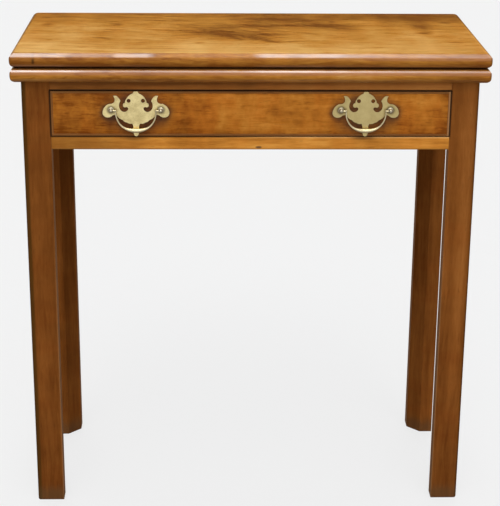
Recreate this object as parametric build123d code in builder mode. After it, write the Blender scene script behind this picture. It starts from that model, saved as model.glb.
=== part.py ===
from build123d import *
from math import cos, radians, sin
import os

os.makedirs("parts", exist_ok=True)

# Tea table with a fold-over leaf, one drawer and one gate leg, in millimetres.
# X runs to the right, Y runs from the drawer side to the back, Z runs up.
# The origin is on the floor, under the middle of the closed leaves.

# Driving dimensions of the whole table
table_width = 692.0
table_depth = 316.0
table_height = 720.0
leaf_thickness = 21.5
leaf_gap = 0.3
leaf_edge_radius = 10.4
leaf_corner_radius = 6.0
leaf_back_gap = 0.25
front_overhang = 16.0
side_overhang = 14.1
back_overhang = 25.0

# Legs
leg_size = 41.0
leg_chamfer = 20.0
leg_corner_radius = 4.5
foot_radius = 2.0
back_leg_inset = 7.0
swing_leg_setback = 4.0
swing_leg_drop = 0.8

# Frame of rails
top_rail_height = 13.0
drawer_opening_height = 69.4
bottom_rail_height = 19.2
rail_thickness = 20.0
fly_rail_thickness = 20.0
tenon_length = 22.0
tenon_thickness = 8.0
tenon_shoulder = 8.0
front_tenon_length = 14.0
front_tenon_shoulder = 4.0
front_tenon_margin = 6.0
dovetail_length = 14.0
dovetail_root_width = 20.0
dovetail_slope_share = 0.17
rail_tail_count = 3
tail_root_share = 0.5

# Wooden knuckle joint of the gate
knuckle_count = 5
knuckle_gap = 0.3
knuckle_pin_radius = 3.0
running_clearance = 0.08
gate_clearance = 0.4
gate_top_gap = 0.4
shoulder_clearance = 0.5

# Drawer
drawer_side_gap = 0.6
drawer_top_gap = 1.2
drawer_rest_gap = 0.3
drawer_back_gap = 12.0
drawer_front_thickness = 20.0
drawer_board_thickness = 9.0
drawer_side_drop = 4.0
drawer_back_drop = 5.0
drawer_lap = 11.0
drawer_tail_count = 3
drawer_bottom_thickness = 6.0
drawer_bottom_rise = 6.5
drawer_groove_depth = 4.0
bead_width = 3.5
bead_depth = 8.0
bead_proud = 0.6
bead_round = 0.5

# Strips that carry and guide the drawer
runner_width = 30.0
runner_rise = 0.8
guide_height = 16.0
guide_clearance = 0.4
stop_width = 42.0
stop_depth = 12.0
stop_height = 4.5
stop_gap = 0.3
stop_inset = 140.5
glue_block_length = 60.0
glue_block_size = 12.0
glue_block_inset = 84.5

# Handles
handle_inset = 123.5
handle_rise = 5.7
plate_width = 96.6
plate_height = 68.6
plate_thickness = 1.2
plate_hole_radius = 2.9
plate_hole_spacing = 20.8
plate_hole_rise = 13.6
post_spacing = 72.0
post_shank_radius = 2.0
post_collar_radius = 4.2
post_collar_thickness = 1.6
post_neck_radius = 2.6
post_head_radius = 3.3
post_end_length = 2.0
pivot_stand_off = 5.2
nut_size = 9.0
nut_thickness = 3.0
bail_width = 58.0
bail_drop = 32.7
bail_arm_length = 3.0
bail_arm_radius = 1.1
bail_grip_radius = 3.15
bail_swell_power = 6
bail_pin_radius = 1.2
bail_elbow_radius = 1.5
bail_pin_end = 2.0
bail_step = 15

# Leaf hinges
hinge_inset = 120.0
hinge_length = 50.0
hinge_knuckle_count = 5
hinge_knuckle_gap = 0.2
hinge_plate_height = 16.0
hinge_plate_thickness = 1.6
hinge_barrel_radius = 2.8
hinge_barrel_clearance = 0.3
hinge_pin_radius = 1.2
hinge_screw_spacing = 17.0
hinge_screw_drop = 9.0

# Screws and nails: shank radius, head radius and length
hinge_screw_radius = 1.4
hinge_screw_head = 2.7
hinge_screw_length = 16.0
leaf_screw_radius = 2.0
leaf_screw_head = 4.0
leaf_screw_length = 27.0
leaf_screw_inset = 140.5
kicker_screw_spacing = 110.0
rail_screw_radius = 2.2
rail_screw_head = 4.4
rail_screw_length = 34.0
rail_screw_count = 3
runner_nail_radius = 1.4
runner_nail_head = 3.0
runner_nail_length = 42.0
runner_nail_spacing = 120.0
bottom_nail_radius = 0.9
bottom_nail_head = 2.2
bottom_nail_length = 18.0
bottom_nail_count = 3
bottom_nail_inset = 89.9

# Levels, from the floor up
joint_level = table_height - leaf_thickness - leaf_gap / 2
fixed_leaf_top = joint_level - leaf_gap / 2
frame_top = fixed_leaf_top - leaf_thickness
frame_height = top_rail_height + drawer_opening_height + bottom_rail_height
frame_bottom = frame_top - frame_height
opening_bottom = frame_bottom + bottom_rail_height
opening_top = opening_bottom + drawer_opening_height
runner_top = opening_bottom + runner_rise

# Places in plan, measured from the middle of the closed leaves
leaf_front = -table_depth / 2
hinge_line = table_depth / 2
leaf_back = hinge_line - leaf_back_gap
leaf_side = table_width / 2
frame_front = leaf_front + front_overhang
frame_side = leaf_side - side_overhang
front_leg_inner = frame_side - leg_size
front_leg_back = frame_front + leg_size
back_leg_outer = frame_side - back_leg_inset
back_leg_inner = back_leg_outer - leg_size
back_leg_back = hinge_line - back_overhang
back_leg_front = back_leg_back - leg_size
side_rail_inner = back_leg_outer - rail_thickness
inner_rail_back = back_leg_back - fly_rail_thickness
inner_rail_front = inner_rail_back - rail_thickness
swing_leg_front = back_leg_front + swing_leg_setback
swing_leg_back = swing_leg_front + leg_size
knuckle_y = (inner_rail_back + back_leg_back) / 2
knuckle_radius = fly_rail_thickness / 2
gate_knuckle_radius = knuckle_radius - gate_clearance
shoulder = knuckle_radius + shoulder_clearance
# With the gate open, the swing leg stands on the table's centre line.
knuckle_x = (swing_leg_front + swing_leg_back) / 2 - knuckle_y
sides = (("left", -1), ("right", 1))


def board(x, y, z, mode=Mode.ADD):
    """A squared piece or cut between pairs of faces along X, Y and Z."""
    with BuildSketch(Plane.XY.offset(min(z))) as section:
        with Locations((sum(x) / 2, sum(y) / 2)):
            Rectangle(abs(x[1] - x[0]), abs(y[1] - y[0]))
    extrude(section.sketch, amount=abs(z[1] - z[0]), mode=mode)


def rod(start, direction, length, radius, mode=Mode.ADD):
    """A round bar or bore that starts at a point."""
    with Locations(Plane(origin=start, z_dir=direction)):
        Cylinder(radius, length, align=(Align.CENTER, Align.CENTER, Align.MIN), mode=mode)


def wood_screw(head, direction, length, radius, head_radius):
    """A countersunk screw whose flat head lies at a point, with a pointed end."""
    ends = (Align.CENTER, Align.CENTER, Align.MIN)
    point_length = 2 * radius
    with Locations(Plane(origin=head, z_dir=direction)):
        Cone(head_radius, radius, head_radius - radius, align=ends)
        Cylinder(radius, length - point_length, align=ends)
        with Locations((0, 0, length - point_length)):
            Cone(radius, radius / 4, point_length, align=ends)


def tails(root, tip, low, high, count):
    """Dovetail outlines between two heights, on a plane whose first axis is Y."""
    pitch = (high - low) / count
    half_root = pitch * tail_root_share / 2
    half_tip = half_root + abs(tip - root) * dovetail_slope_share
    for number in range(count):
        middle = low + pitch * (number + 0.5)
        Polygon(
            (root, middle - half_root),
            (tip, middle - half_tip),
            (tip, middle + half_tip),
            (root, middle + half_root),
            align=None,
        )


def keep(piece, name):
    """Label a finished piece and write its file."""
    piece.part.label = name
    export_step(piece.part, f"parts/{name}.step")


# Iron screws and cut nails, which cut their own holes in the wood below
front_rail_middle = (frame_front + front_leg_back) / 2
kicker_middle = side_rail_inner - runner_width / 2
leaf_screw_x = front_leg_inner - leaf_screw_inset
leaf_screw_places = [(sign * leaf_screw_x, front_rail_middle) for side, sign in sides]
for side, sign in sides:
    for y in (-kicker_screw_spacing / 2, kicker_screw_spacing / 2):
        leaf_screw_places.append((sign * kicker_middle, y))

with BuildPart() as leaf_screws:
    for x, y in leaf_screw_places:
        head = (x, y, opening_top)
        wood_screw(head, (0, 0, 1), leaf_screw_length, leaf_screw_radius, leaf_screw_head)
keep(leaf_screws, "leaf_screws")

with BuildPart() as fly_rail_screws:
    screw_pitch = (back_leg_inner + knuckle_x - shoulder) / (rail_screw_count + 1)
    for number in range(rail_screw_count):
        x = screw_pitch * (number + 1) - back_leg_inner
        head = (x, back_leg_back, (frame_bottom + frame_top) / 2)
        wood_screw(head, (0, -1, 0), rail_screw_length, rail_screw_radius, rail_screw_head)
keep(fly_rail_screws, "fly_rail_screws")

with BuildPart() as runner_nails:
    for side, sign in sides:
        for y in (-runner_nail_spacing / 2, runner_nail_spacing / 2):
            start = (sign * (side_rail_inner - runner_width), y, (frame_bottom + opening_bottom) / 2)
            rod(start, (sign, 0, 0), runner_nail_length, runner_nail_radius)
            rod(start, (sign, 0, 0), runner_nail_radius, runner_nail_head)
keep(runner_nails, "runner_nails")

# Rails of the frame
front_rail_x = (-front_leg_inner, front_leg_inner)
front_rail_y = (frame_front, front_leg_back)
frame_z = (frame_bottom, frame_top)

with BuildPart() as top_front_rail:
    board(front_rail_x, front_rail_y, (opening_top, frame_top))
    with BuildSketch(Plane.XY.offset(opening_top)):
        half_root = dovetail_root_width / 2
        half_tip = half_root + dovetail_length * dovetail_slope_share
        for side, sign in sides:
            Polygon(
                (sign * front_leg_inner, front_rail_middle - half_root),
                (sign * (front_leg_inner + dovetail_length), front_rail_middle - half_tip),
                (sign * (front_leg_inner + dovetail_length), front_rail_middle + half_tip),
                (sign * front_leg_inner, front_rail_middle + half_root),
                align=None,
            )
    extrude(amount=top_rail_height)
    add(leaf_screws.part, mode=Mode.SUBTRACT)
keep(top_front_rail, "top_front_rail")

with BuildPart() as bottom_front_rail:
    board(front_rail_x, front_rail_y, (frame_bottom, opening_bottom))
    tenon_end = front_leg_inner + front_tenon_length
    board(
        (-tenon_end, tenon_end),
        (frame_front + front_tenon_margin, front_leg_back - front_tenon_margin),
        (frame_bottom + front_tenon_shoulder, opening_bottom - front_tenon_shoulder),
    )
keep(bottom_front_rail, "bottom_front_rail")

with BuildPart() as inner_back_rail:
    board((-back_leg_inner, back_leg_outer), (inner_rail_front, inner_rail_back), frame_z)
    tenon_middle = (inner_rail_front + inner_rail_back) / 2
    board(
        (-back_leg_inner - tenon_length, -back_leg_inner),
        (tenon_middle - tenon_thickness / 2, tenon_middle + tenon_thickness / 2),
        (frame_bottom + tenon_shoulder, frame_top - tenon_shoulder),
    )
    with BuildSketch(Plane.YZ.offset(side_rail_inner)):
        tails(inner_rail_front, inner_rail_back, frame_bottom, frame_top, rail_tail_count)
    extrude(amount=rail_thickness, mode=Mode.SUBTRACT)
    add(fly_rail_screws.part, mode=Mode.SUBTRACT)
keep(inner_back_rail, "inner_back_rail")

side_rails = {}
for side, sign in sides:
    rail_end = back_leg_front if side == "left" else inner_rail_back
    rail_middle = side_rail_inner + rail_thickness / 2
    tenon_x = (
        sign * (rail_middle - tenon_thickness / 2),
        sign * (rail_middle + tenon_thickness / 2),
    )
    tenon_z = (frame_bottom + tenon_shoulder, opening_top - tenon_shoulder)
    with BuildPart() as side_rail:
        board(
            (sign * side_rail_inner, sign * back_leg_outer),
            (front_leg_back, rail_end),
            frame_z,
        )
        board(tenon_x, (front_leg_back - tenon_length, front_leg_back), tenon_z)
        if side == "left":
            board(tenon_x, (rail_end, rail_end + tenon_length), tenon_z)
        else:
            add(inner_back_rail.part, mode=Mode.SUBTRACT)
        add(runner_nails.part, mode=Mode.SUBTRACT)
    side_rails[side] = side_rail
    keep(side_rail, f"side_rail_{side}")


def knuckle_fingers(radius, direction, numbers):
    """Fingers of the wooden knuckle, from the shoulder to the rounded end."""
    pitch = frame_height / knuckle_count
    for number in numbers:
        finger_bottom = frame_bottom + pitch * number + knuckle_gap / 2
        with BuildSketch(Plane.XY.offset(finger_bottom)) as finger:
            with Locations((knuckle_x, knuckle_y)):
                Circle(radius)
            with Locations((knuckle_x + direction * shoulder / 2, knuckle_y)):
                Rectangle(shoulder, 2 * radius)
        extrude(finger.sketch, amount=pitch - knuckle_gap)


with BuildPart() as fly_rail_fixed:
    board((-back_leg_inner, knuckle_x - shoulder), (inner_rail_back, back_leg_back), frame_z)
    board(
        (-back_leg_inner - tenon_length, -back_leg_inner),
        (knuckle_y - tenon_thickness / 2, knuckle_y + tenon_thickness / 2),
        (frame_bottom + tenon_shoulder, frame_top - tenon_shoulder),
    )
    knuckle_fingers(knuckle_radius, -1, range(0, knuckle_count, 2))
    rod(
        (knuckle_x, knuckle_y, frame_bottom),
        (0, 0, 1),
        frame_height,
        knuckle_pin_radius + running_clearance,
        Mode.SUBTRACT,
    )
    add(fly_rail_screws.part, mode=Mode.SUBTRACT)
keep(fly_rail_fixed, "fly_rail_fixed")

with BuildPart() as fly_rail_gate:
    board(
        (knuckle_x + shoulder, back_leg_inner),
        (knuckle_y - gate_knuckle_radius, knuckle_y + gate_knuckle_radius),
        (frame_bottom, frame_top - gate_top_gap),
    )
    board(
        (back_leg_inner, back_leg_inner + tenon_length),
        (knuckle_y - tenon_thickness / 2, knuckle_y + tenon_thickness / 2),
        (frame_bottom + tenon_shoulder, frame_top - tenon_shoulder),
    )
    knuckle_fingers(gate_knuckle_radius, 1, range(1, knuckle_count, 2))
    rod(
        (knuckle_x, knuckle_y, frame_bottom),
        (0, 0, 1),
        frame_height,
        knuckle_pin_radius + running_clearance,
        Mode.SUBTRACT,
    )
keep(fly_rail_gate, "fly_rail_gate")

with BuildPart() as knuckle_pin:
    rod((knuckle_x, knuckle_y, frame_bottom), (0, 0, 1), frame_height, knuckle_pin_radius)
keep(knuckle_pin, "knuckle_pin")


# Legs, whose inner corners are cut away below the rails
def leg_post(x, y, height):
    """A squared leg from the floor up, between inner and outer faces along X and Y."""
    board(x, y, (0, height))
    outward_x = Axis.X if x[1] > x[0] else -Axis.X
    outward_y = Axis.Y if y[1] > y[0] else -Axis.Y
    corner = edges().filter_by(Axis.Z).group_by(outward_x)[-1].sort_by(outward_y)[-1]
    fillet(corner, leg_corner_radius)


def inner_chamfer(x, y, toward_x, toward_y, height):
    """Cut a corner of a leg at 45 degrees from the floor up to a height, and round its foot."""
    with BuildSketch(Plane.XY) as corner:
        Polygon(
            (x, y), (x + toward_x * leg_chamfer, y), (x, y + toward_y * leg_chamfer), align=None
        )
    extrude(corner.sketch, amount=height, mode=Mode.SUBTRACT)
    fillet(faces().sort_by(Axis.Z)[0].edges(), foot_radius)


for side, sign in sides:
    with BuildPart() as front_leg:
        leg_x = (sign * front_leg_inner, sign * frame_side)
        leg_post(leg_x, (front_leg_back, frame_front), frame_top)
        inner_chamfer(sign * front_leg_inner, front_leg_back, sign, -1, frame_bottom)
        add(top_front_rail.part, mode=Mode.SUBTRACT)
        add(bottom_front_rail.part, mode=Mode.SUBTRACT)
        add(side_rails[side].part, mode=Mode.SUBTRACT)
    keep(front_leg, f"front_leg_{side}")

with BuildPart() as back_leg_fixed:
    leg_post((-back_leg_inner, -back_leg_outer), (back_leg_front, back_leg_back), frame_top)
    inner_chamfer(-back_leg_inner, back_leg_front, -1, 1, frame_bottom)
    add(side_rails["left"].part, mode=Mode.SUBTRACT)
    add(inner_back_rail.part, mode=Mode.SUBTRACT)
    add(fly_rail_fixed.part, mode=Mode.SUBTRACT)
keep(back_leg_fixed, "back_leg_fixed")

with BuildPart() as swing_leg:
    rebate_bottom = frame_bottom - swing_leg_drop
    swing_leg_top = frame_top - gate_top_gap
    leg_post((back_leg_inner, back_leg_outer), (swing_leg_front, swing_leg_back), swing_leg_top)
    board(
        (back_leg_inner, back_leg_outer),
        (swing_leg_front, inner_rail_back + gate_clearance),
        (rebate_bottom, swing_leg_top),
        Mode.SUBTRACT,
    )
    inner_chamfer(back_leg_inner, swing_leg_front, 1, 1, rebate_bottom)
    add(fly_rail_gate.part, mode=Mode.SUBTRACT)
keep(swing_leg, "swing_leg")

# Strips inside the frame, on both sides of the drawer
drawer_outer = front_leg_inner - drawer_side_gap
for side, sign in sides:
    strip_end = min(back_leg_front, inner_rail_front) if side == "left" else inner_rail_front
    strip_y = (front_leg_back, strip_end)
    with BuildPart() as drawer_runner:
        board(
            (sign * (side_rail_inner - runner_width), sign * side_rail_inner),
            strip_y,
            (frame_bottom, runner_top),
        )
        add(runner_nails.part, mode=Mode.SUBTRACT)
    keep(drawer_runner, f"drawer_runner_{side}")

    with BuildPart() as drawer_guide:
        board(
            (sign * (drawer_outer + guide_clearance), sign * side_rail_inner),
            strip_y,
            (runner_top, runner_top + guide_height),
        )
    keep(drawer_guide, f"drawer_guide_{side}")

    with BuildPart() as kicker:
        board(
            (sign * (side_rail_inner - runner_width), sign * side_rail_inner),
            strip_y,
            (opening_top, frame_top),
        )
        add(leaf_screws.part, mode=Mode.SUBTRACT)
    keep(kicker, f"kicker_{side}")

    with BuildPart() as drawer_stop:
        stop_front = frame_front + drawer_front_thickness + stop_gap
        stop_middle = sign * (front_leg_inner - stop_inset)
        board(
            (stop_middle - stop_width / 2, stop_middle + stop_width / 2),
            (stop_front, stop_front + stop_depth),
            (opening_bottom, opening_bottom + stop_height),
        )
    keep(drawer_stop, f"drawer_stop_{side}")

outer_block = side_rail_inner - glue_block_inset
for place, middle in (("left", -outer_block), ("middle", 0), ("right", outer_block)):
    with BuildPart() as glue_block:
        block_start = middle - glue_block_length / 2
        with BuildSketch(Plane.YZ.offset(block_start)):
            Polygon(
                (inner_rail_front, frame_top),
                (inner_rail_front - glue_block_size, frame_top),
                (inner_rail_front, frame_top - glue_block_size),
                align=None,
            )
        extrude(amount=glue_block_length)
    keep(glue_block, f"glue_block_{place}")


# Leaves and their brass hinges
def leaf_board(low, high):
    """A leaf with rounded front and side edges and a square back edge."""
    board((-leaf_side, leaf_side), (leaf_front, leaf_back), (low, high))
    long_edges = edges().filter_by(Axis.X).group_by(Axis.Y)[0]
    side_edges = edges().filter_by(Axis.Y)
    fillet(long_edges + side_edges, leaf_edge_radius)
    with BuildSketch(Plane.XY.offset(low)) as plan:
        with Locations((0, (leaf_front + leaf_back) / 2)):
            Rectangle(table_width, leaf_back - leaf_front)
        fillet(plan.vertices().group_by(Axis.Y)[0], leaf_corner_radius)
    extrude(plan.sketch, amount=high - low, mode=Mode.INTERSECT)


def hinge_recess(middle, reach):
    """Sink one plate and half the barrel of a hinge into a leaf's back edge."""
    board(
        (middle - hinge_length / 2, middle + hinge_length / 2),
        (leaf_back - hinge_plate_thickness, leaf_back),
        (joint_level, joint_level + reach),
        Mode.SUBTRACT,
    )
    recess_length = hinge_length + 2 * hinge_barrel_clearance
    rod(
        (middle - recess_length / 2, hinge_line, joint_level),
        (1, 0, 0),
        recess_length,
        hinge_barrel_radius + hinge_barrel_clearance,
        Mode.SUBTRACT,
    )


def hinge_plate(middle, reach, owned):
    """One plate of a hinge with its own knuckles, bored for the pin."""
    pitch = hinge_length / hinge_knuckle_count
    start = middle - hinge_length / 2
    board(
        (start, start + hinge_length),
        (leaf_back - hinge_plate_thickness, leaf_back),
        (joint_level, joint_level + reach),
    )
    for number in range(hinge_knuckle_count):
        if number not in owned:
            rod(
                (start + pitch * number, hinge_line, joint_level),
                (1, 0, 0),
                pitch,
                hinge_barrel_radius + hinge_barrel_clearance,
                Mode.SUBTRACT,
            )
    for number in owned:
        rod(
            (start + pitch * number + hinge_knuckle_gap / 2, hinge_line, joint_level),
            (1, 0, 0),
            pitch - hinge_knuckle_gap,
            hinge_barrel_radius,
        )
    rod(
        (start, hinge_line, joint_level),
        (1, 0, 0),
        hinge_length,
        hinge_pin_radius + running_clearance,
        Mode.SUBTRACT,
    )


hinge_middle = leaf_side - hinge_inset
hinge_screws = {}
for level, reach in (("lower", -hinge_plate_height), ("upper", hinge_plate_height)):
    upward = 1 if level == "upper" else -1
    with BuildPart() as screws:
        for side, sign in sides:
            for number in (-1, 0, 1):
                x = sign * hinge_middle + number * hinge_screw_spacing
                head = (x, leaf_back, joint_level + upward * hinge_screw_drop)
                wood_screw(
                    head, (0, -1, 0), hinge_screw_length, hinge_screw_radius, hinge_screw_head
                )
    hinge_screws[level] = screws
    keep(screws, f"{level}_hinge_screws")

    first_knuckle = 0 if level == "lower" else 1
    owned = range(first_knuckle, hinge_knuckle_count, 2)
    for side, sign in sides:
        with BuildPart() as plate:
            hinge_plate(sign * hinge_middle, reach, owned)
            add(screws.part, mode=Mode.SUBTRACT)
        keep(plate, f"{level}_hinge_plate_{side}")

for side, sign in sides:
    with BuildPart() as hinge_pin:
        start = sign * hinge_middle - hinge_length / 2
        rod((start, hinge_line, joint_level), (1, 0, 0), hinge_length, hinge_pin_radius)
    keep(hinge_pin, f"hinge_pin_{side}")

with BuildPart() as fixed_leaf:
    leaf_board(frame_top, fixed_leaf_top)
    for side, sign in sides:
        hinge_recess(sign * hinge_middle, -hinge_plate_height)
    add(hinge_screws["lower"].part, mode=Mode.SUBTRACT)
    add(leaf_screws.part, mode=Mode.SUBTRACT)
keep(fixed_leaf, "fixed_leaf")

with BuildPart() as folding_leaf:
    leaf_board(fixed_leaf_top + leaf_gap, table_height)
    for side, sign in sides:
        hinge_recess(sign * hinge_middle, hinge_plate_height)
    add(hinge_screws["upper"].part, mode=Mode.SUBTRACT)
keep(folding_leaf, "folding_leaf")

# Drawer levels and places
drawer_bottom_edge = runner_top + drawer_rest_gap
drawer_top_edge = opening_top - drawer_top_gap
drawer_front_back = frame_front + drawer_front_thickness
drawer_end = inner_rail_front - drawer_back_gap
drawer_inner = drawer_outer - drawer_board_thickness
panel_bottom = drawer_bottom_edge + drawer_bottom_rise
panel_top = panel_bottom + drawer_bottom_thickness
side_top = drawer_top_edge - drawer_side_drop
back_top = side_top - drawer_back_drop
lap_front = drawer_front_back - drawer_lap
panel_front = drawer_front_back - drawer_groove_depth
panel_side = drawer_inner + drawer_groove_depth
bead_front = frame_front - bead_proud
bead_back = frame_front + bead_depth

# Handle places
pivot_level = (opening_bottom + opening_top) / 2 + handle_rise
plate_back = bead_front
plate_front = plate_back - plate_thickness
pivot_y = plate_front - pivot_stand_off
handle_x = drawer_outer - handle_inset

# Right half of a backplate from its top point to its bottom point, as arcs. Each
# pair is a point on the arc and the arc's end. X is a share of half the plate's
# width, Z a share of its height, counted from the line of the posts.
plate_top_share = 0.395
plate_arc_shares = (
    ((0.055, 0.394), (0.083, 0.358)),
    ((0.200, 0.311), (0.286, 0.230)),
    ((0.315, 0.192), (0.320, 0.154)),
    ((0.372, 0.134), (0.386, 0.098)),
    ((0.365, 0.066), (0.312, 0.057)),
    ((0.250, 0.056), (0.227, 0.023)),
    ((0.285, -0.030), (0.384, -0.040)),
    ((0.462, -0.001), (0.501, 0.061)),
    ((0.499, 0.130), (0.458, 0.194)),
    ((0.505, 0.252), (0.570, 0.300)),
    ((0.620, 0.307), (0.672, 0.301)),
    ((0.634, 0.240), (0.640, 0.176)),
    ((0.700, 0.140), (0.797, 0.130)),
    ((0.946, 0.052), (1.000, -0.046)),
    ((0.974, -0.120), (0.860, -0.162)),
    ((0.778, -0.155), (0.705, -0.120)),
    ((0.648, -0.106), (0.594, -0.110)),
    ((0.522, -0.168), (0.402, -0.218)),
    ((0.340, -0.258), (0.278, -0.272)),
    ((0.210, -0.296), (0.120, -0.296)),
    ((0.092, -0.340), (0.090, -0.400)),
    ((0.088, -0.470), (0.062, -0.535)),
    ((0.032, -0.566), (0.000, -0.573)),
)


def plate_outline():
    """Both halves of a backplate's pierced outline, about the local origin."""
    half_width = plate_width / 2
    with BuildLine() as outline:
        start = (0, plate_top_share * plate_height)
        for middle, end in plate_arc_shares:
            middle = (middle[0] * half_width, middle[1] * plate_height)
            end = (end[0] * half_width, end[1] * plate_height)
            ThreePointArc(start, middle, end)
            start = end
        mirror(about=Plane.YZ)
    make_face(outline.edges())


def post_profile():
    """Half outline of a post along its axis, forward from the plate's front face."""
    wood_end = plate_thickness + bead_proud + drawer_front_thickness
    shank_end = wood_end + nut_thickness + post_end_length
    neck_end = pivot_stand_off - (post_head_radius**2 - post_neck_radius**2) ** 0.5
    tip = pivot_stand_off + post_head_radius
    with BuildLine() as outline:
        Polyline(
            (tip, 0),
            (-shank_end, 0),
            (-shank_end, post_shank_radius),
            (0, post_shank_radius),
            (0, post_collar_radius),
            (post_collar_thickness / 2, post_collar_radius),
            (post_collar_thickness, post_neck_radius),
            (neck_end, post_neck_radius),
        )
        ThreePointArc(
            (neck_end, post_neck_radius), (pivot_stand_off, post_head_radius), (tip, 0)
        )
    make_face(outline.edges())


def bail_half(x):
    """Half of a bail from its straight arm to the middle of its grip, as a lofted crescent."""
    outer_half = bail_width / 2 + bail_arm_radius
    curve_top = pivot_level - bail_arm_length
    curve_drop = bail_drop - bail_arm_length
    sections = []
    for turn in range(0, 90 + bail_step, bail_step):
        angle = radians(turn)
        swell = sin(angle) ** bail_swell_power
        radius = bail_arm_radius + (bail_grip_radius - bail_arm_radius) * swell
        outward = Vector(curve_drop * cos(angle), 0, -outer_half * sin(angle)).normalized()
        outer = Vector(x + outer_half * cos(angle), pivot_y, curve_top - curve_drop * sin(angle))
        along = (-outer_half * sin(angle), 0, -curve_drop * cos(angle))
        place = outer - outward * radius
        with BuildSketch(Plane(origin=place, x_dir=(0, -1, 0), z_dir=along)) as section:
            Circle(radius)
        sections.append(section.sketch)
    loft(sections)


posts = {}
for handle, handle_sign in sides:
    for place, post_sign in (("outer", handle_sign), ("inner", -handle_sign)):
        post_x = handle_sign * handle_x + post_sign * post_spacing / 2
        with BuildPart() as post:
            foot = (post_x, plate_front, pivot_level)
            with BuildSketch(Plane(origin=foot, x_dir=(0, -1, 0), z_dir=(0, 0, 1))):
                post_profile()
            revolve(axis=Axis(foot, (0, 1, 0)))
            rod(
                (post_x - post_collar_radius, pivot_y, pivot_level),
                (1, 0, 0),
                2 * post_collar_radius,
                bail_pin_radius + running_clearance,
                Mode.SUBTRACT,
            )
        posts[handle, place] = post
        keep(post, f"handle_post_{handle}_{place}")

with BuildPart() as handle_nuts:
    for handle, handle_sign in sides:
        for post_sign in (-1, 1):
            post_x = handle_sign * handle_x + post_sign * post_spacing / 2
            board(
                (post_x - nut_size / 2, post_x + nut_size / 2),
                (drawer_front_back, drawer_front_back + nut_thickness),
                (pivot_level - nut_size / 2, pivot_level + nut_size / 2),
            )
    for post in posts.values():
        add(post.part, mode=Mode.SUBTRACT)
keep(handle_nuts, "handle_nuts")

for handle, handle_sign in sides:
    x = handle_sign * handle_x
    with BuildPart() as backplate:
        back_middle = (x, plate_back, pivot_level)
        with BuildSketch(Plane(origin=back_middle, x_dir=(1, 0, 0), z_dir=(0, -1, 0))):
            plate_outline()
            with Locations(
                (-plate_hole_spacing / 2, plate_hole_rise), (plate_hole_spacing / 2, plate_hole_rise)
            ):
                Circle(plate_hole_radius, mode=Mode.SUBTRACT)
        extrude(amount=plate_thickness)
        for place in ("outer", "inner"):
            add(posts[handle, place].part, mode=Mode.SUBTRACT)
    keep(backplate, f"backplate_{handle}")

    with BuildPart() as bail:
        elbow = (x + bail_width / 2, pivot_y, pivot_level)
        with Locations(elbow):
            Sphere(bail_elbow_radius)
        rod(elbow, (1, 0, 0), (post_spacing - bail_width) / 2 + bail_pin_end, bail_pin_radius)
        rod(elbow, (0, 0, -1), bail_arm_length, bail_arm_radius)
        bail_half(x)
        mirror(about=Plane.YZ.offset(x))
    keep(bail, f"bail_{handle}")

# Drawer boards
drawer_x = (-drawer_outer, drawer_outer)
drawer_z = (drawer_bottom_edge, drawer_top_edge)
panel_x = (-panel_side, panel_side)
panel_z = (panel_bottom, panel_top)

with BuildPart() as drawer_front:
    board(drawer_x, (frame_front, drawer_front_back), drawer_z)
    for side, sign in sides:
        edge = sign * (drawer_outer - bead_width)
        board((edge, sign * drawer_outer), (frame_front, bead_back), drawer_z, Mode.SUBTRACT)
        with BuildSketch(Plane.YZ.offset(min(sign * drawer_inner, sign * drawer_outer))):
            tails(drawer_front_back, lap_front, drawer_bottom_edge, side_top, drawer_tail_count)
        extrude(amount=drawer_board_thickness, mode=Mode.SUBTRACT)
    for level, inward in ((drawer_bottom_edge, 1), (drawer_top_edge, -1)):
        edge_z = (level, level + inward * bead_width)
        board(drawer_x, (frame_front, bead_back), edge_z, Mode.SUBTRACT)
    board(panel_x, (panel_front, drawer_front_back), panel_z, Mode.SUBTRACT)
    for post in posts.values():
        add(post.part, mode=Mode.SUBTRACT)
keep(drawer_front, "drawer_front")


# Cock beads, mitred at the corners
bead_inner = drawer_outer - bead_width
bead_low = drawer_bottom_edge + bead_width
bead_high = drawer_top_edge - bead_width
bead_corners = {
    "top": (
        (-drawer_outer, drawer_top_edge),
        (drawer_outer, drawer_top_edge),
        (bead_inner, bead_high),
        (-bead_inner, bead_high),
    ),
    "bottom": (
        (-drawer_outer, drawer_bottom_edge),
        (drawer_outer, drawer_bottom_edge),
        (bead_inner, bead_low),
        (-bead_inner, bead_low),
    ),
    "left": (
        (-drawer_outer, drawer_bottom_edge),
        (-drawer_outer, drawer_top_edge),
        (-bead_inner, bead_high),
        (-bead_inner, bead_low),
    ),
    "right": (
        (drawer_outer, drawer_bottom_edge),
        (drawer_outer, drawer_top_edge),
        (bead_inner, bead_high),
        (bead_inner, bead_low),
    ),
}
for place, corners in bead_corners.items():
    with BuildPart() as cock_bead:
        with BuildSketch(Plane.XZ.offset(-bead_back)):
            Polygon(*corners, align=None)
        extrude(amount=bead_back - bead_front)
        front_edges = faces().sort_by(Axis.Y)[0].edges()
        lengthwise = Axis.X if place in ("top", "bottom") else Axis.Z
        fillet(front_edges.filter_by(lengthwise), bead_round)
    keep(cock_bead, f"cock_bead_{place}")

with BuildPart() as bottom_nails:
    nail_reach = drawer_outer - bottom_nail_inset
    for number in range(bottom_nail_count):
        x = nail_reach * (2 * number / (bottom_nail_count - 1) - 1)
        start = (x, drawer_end - drawer_board_thickness / 2, panel_bottom)
        rod(start, (0, 0, 1), bottom_nail_length, bottom_nail_radius)
        rod(start, (0, 0, 1), bottom_nail_radius, bottom_nail_head)
keep(bottom_nails, "drawer_bottom_nails")

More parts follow.
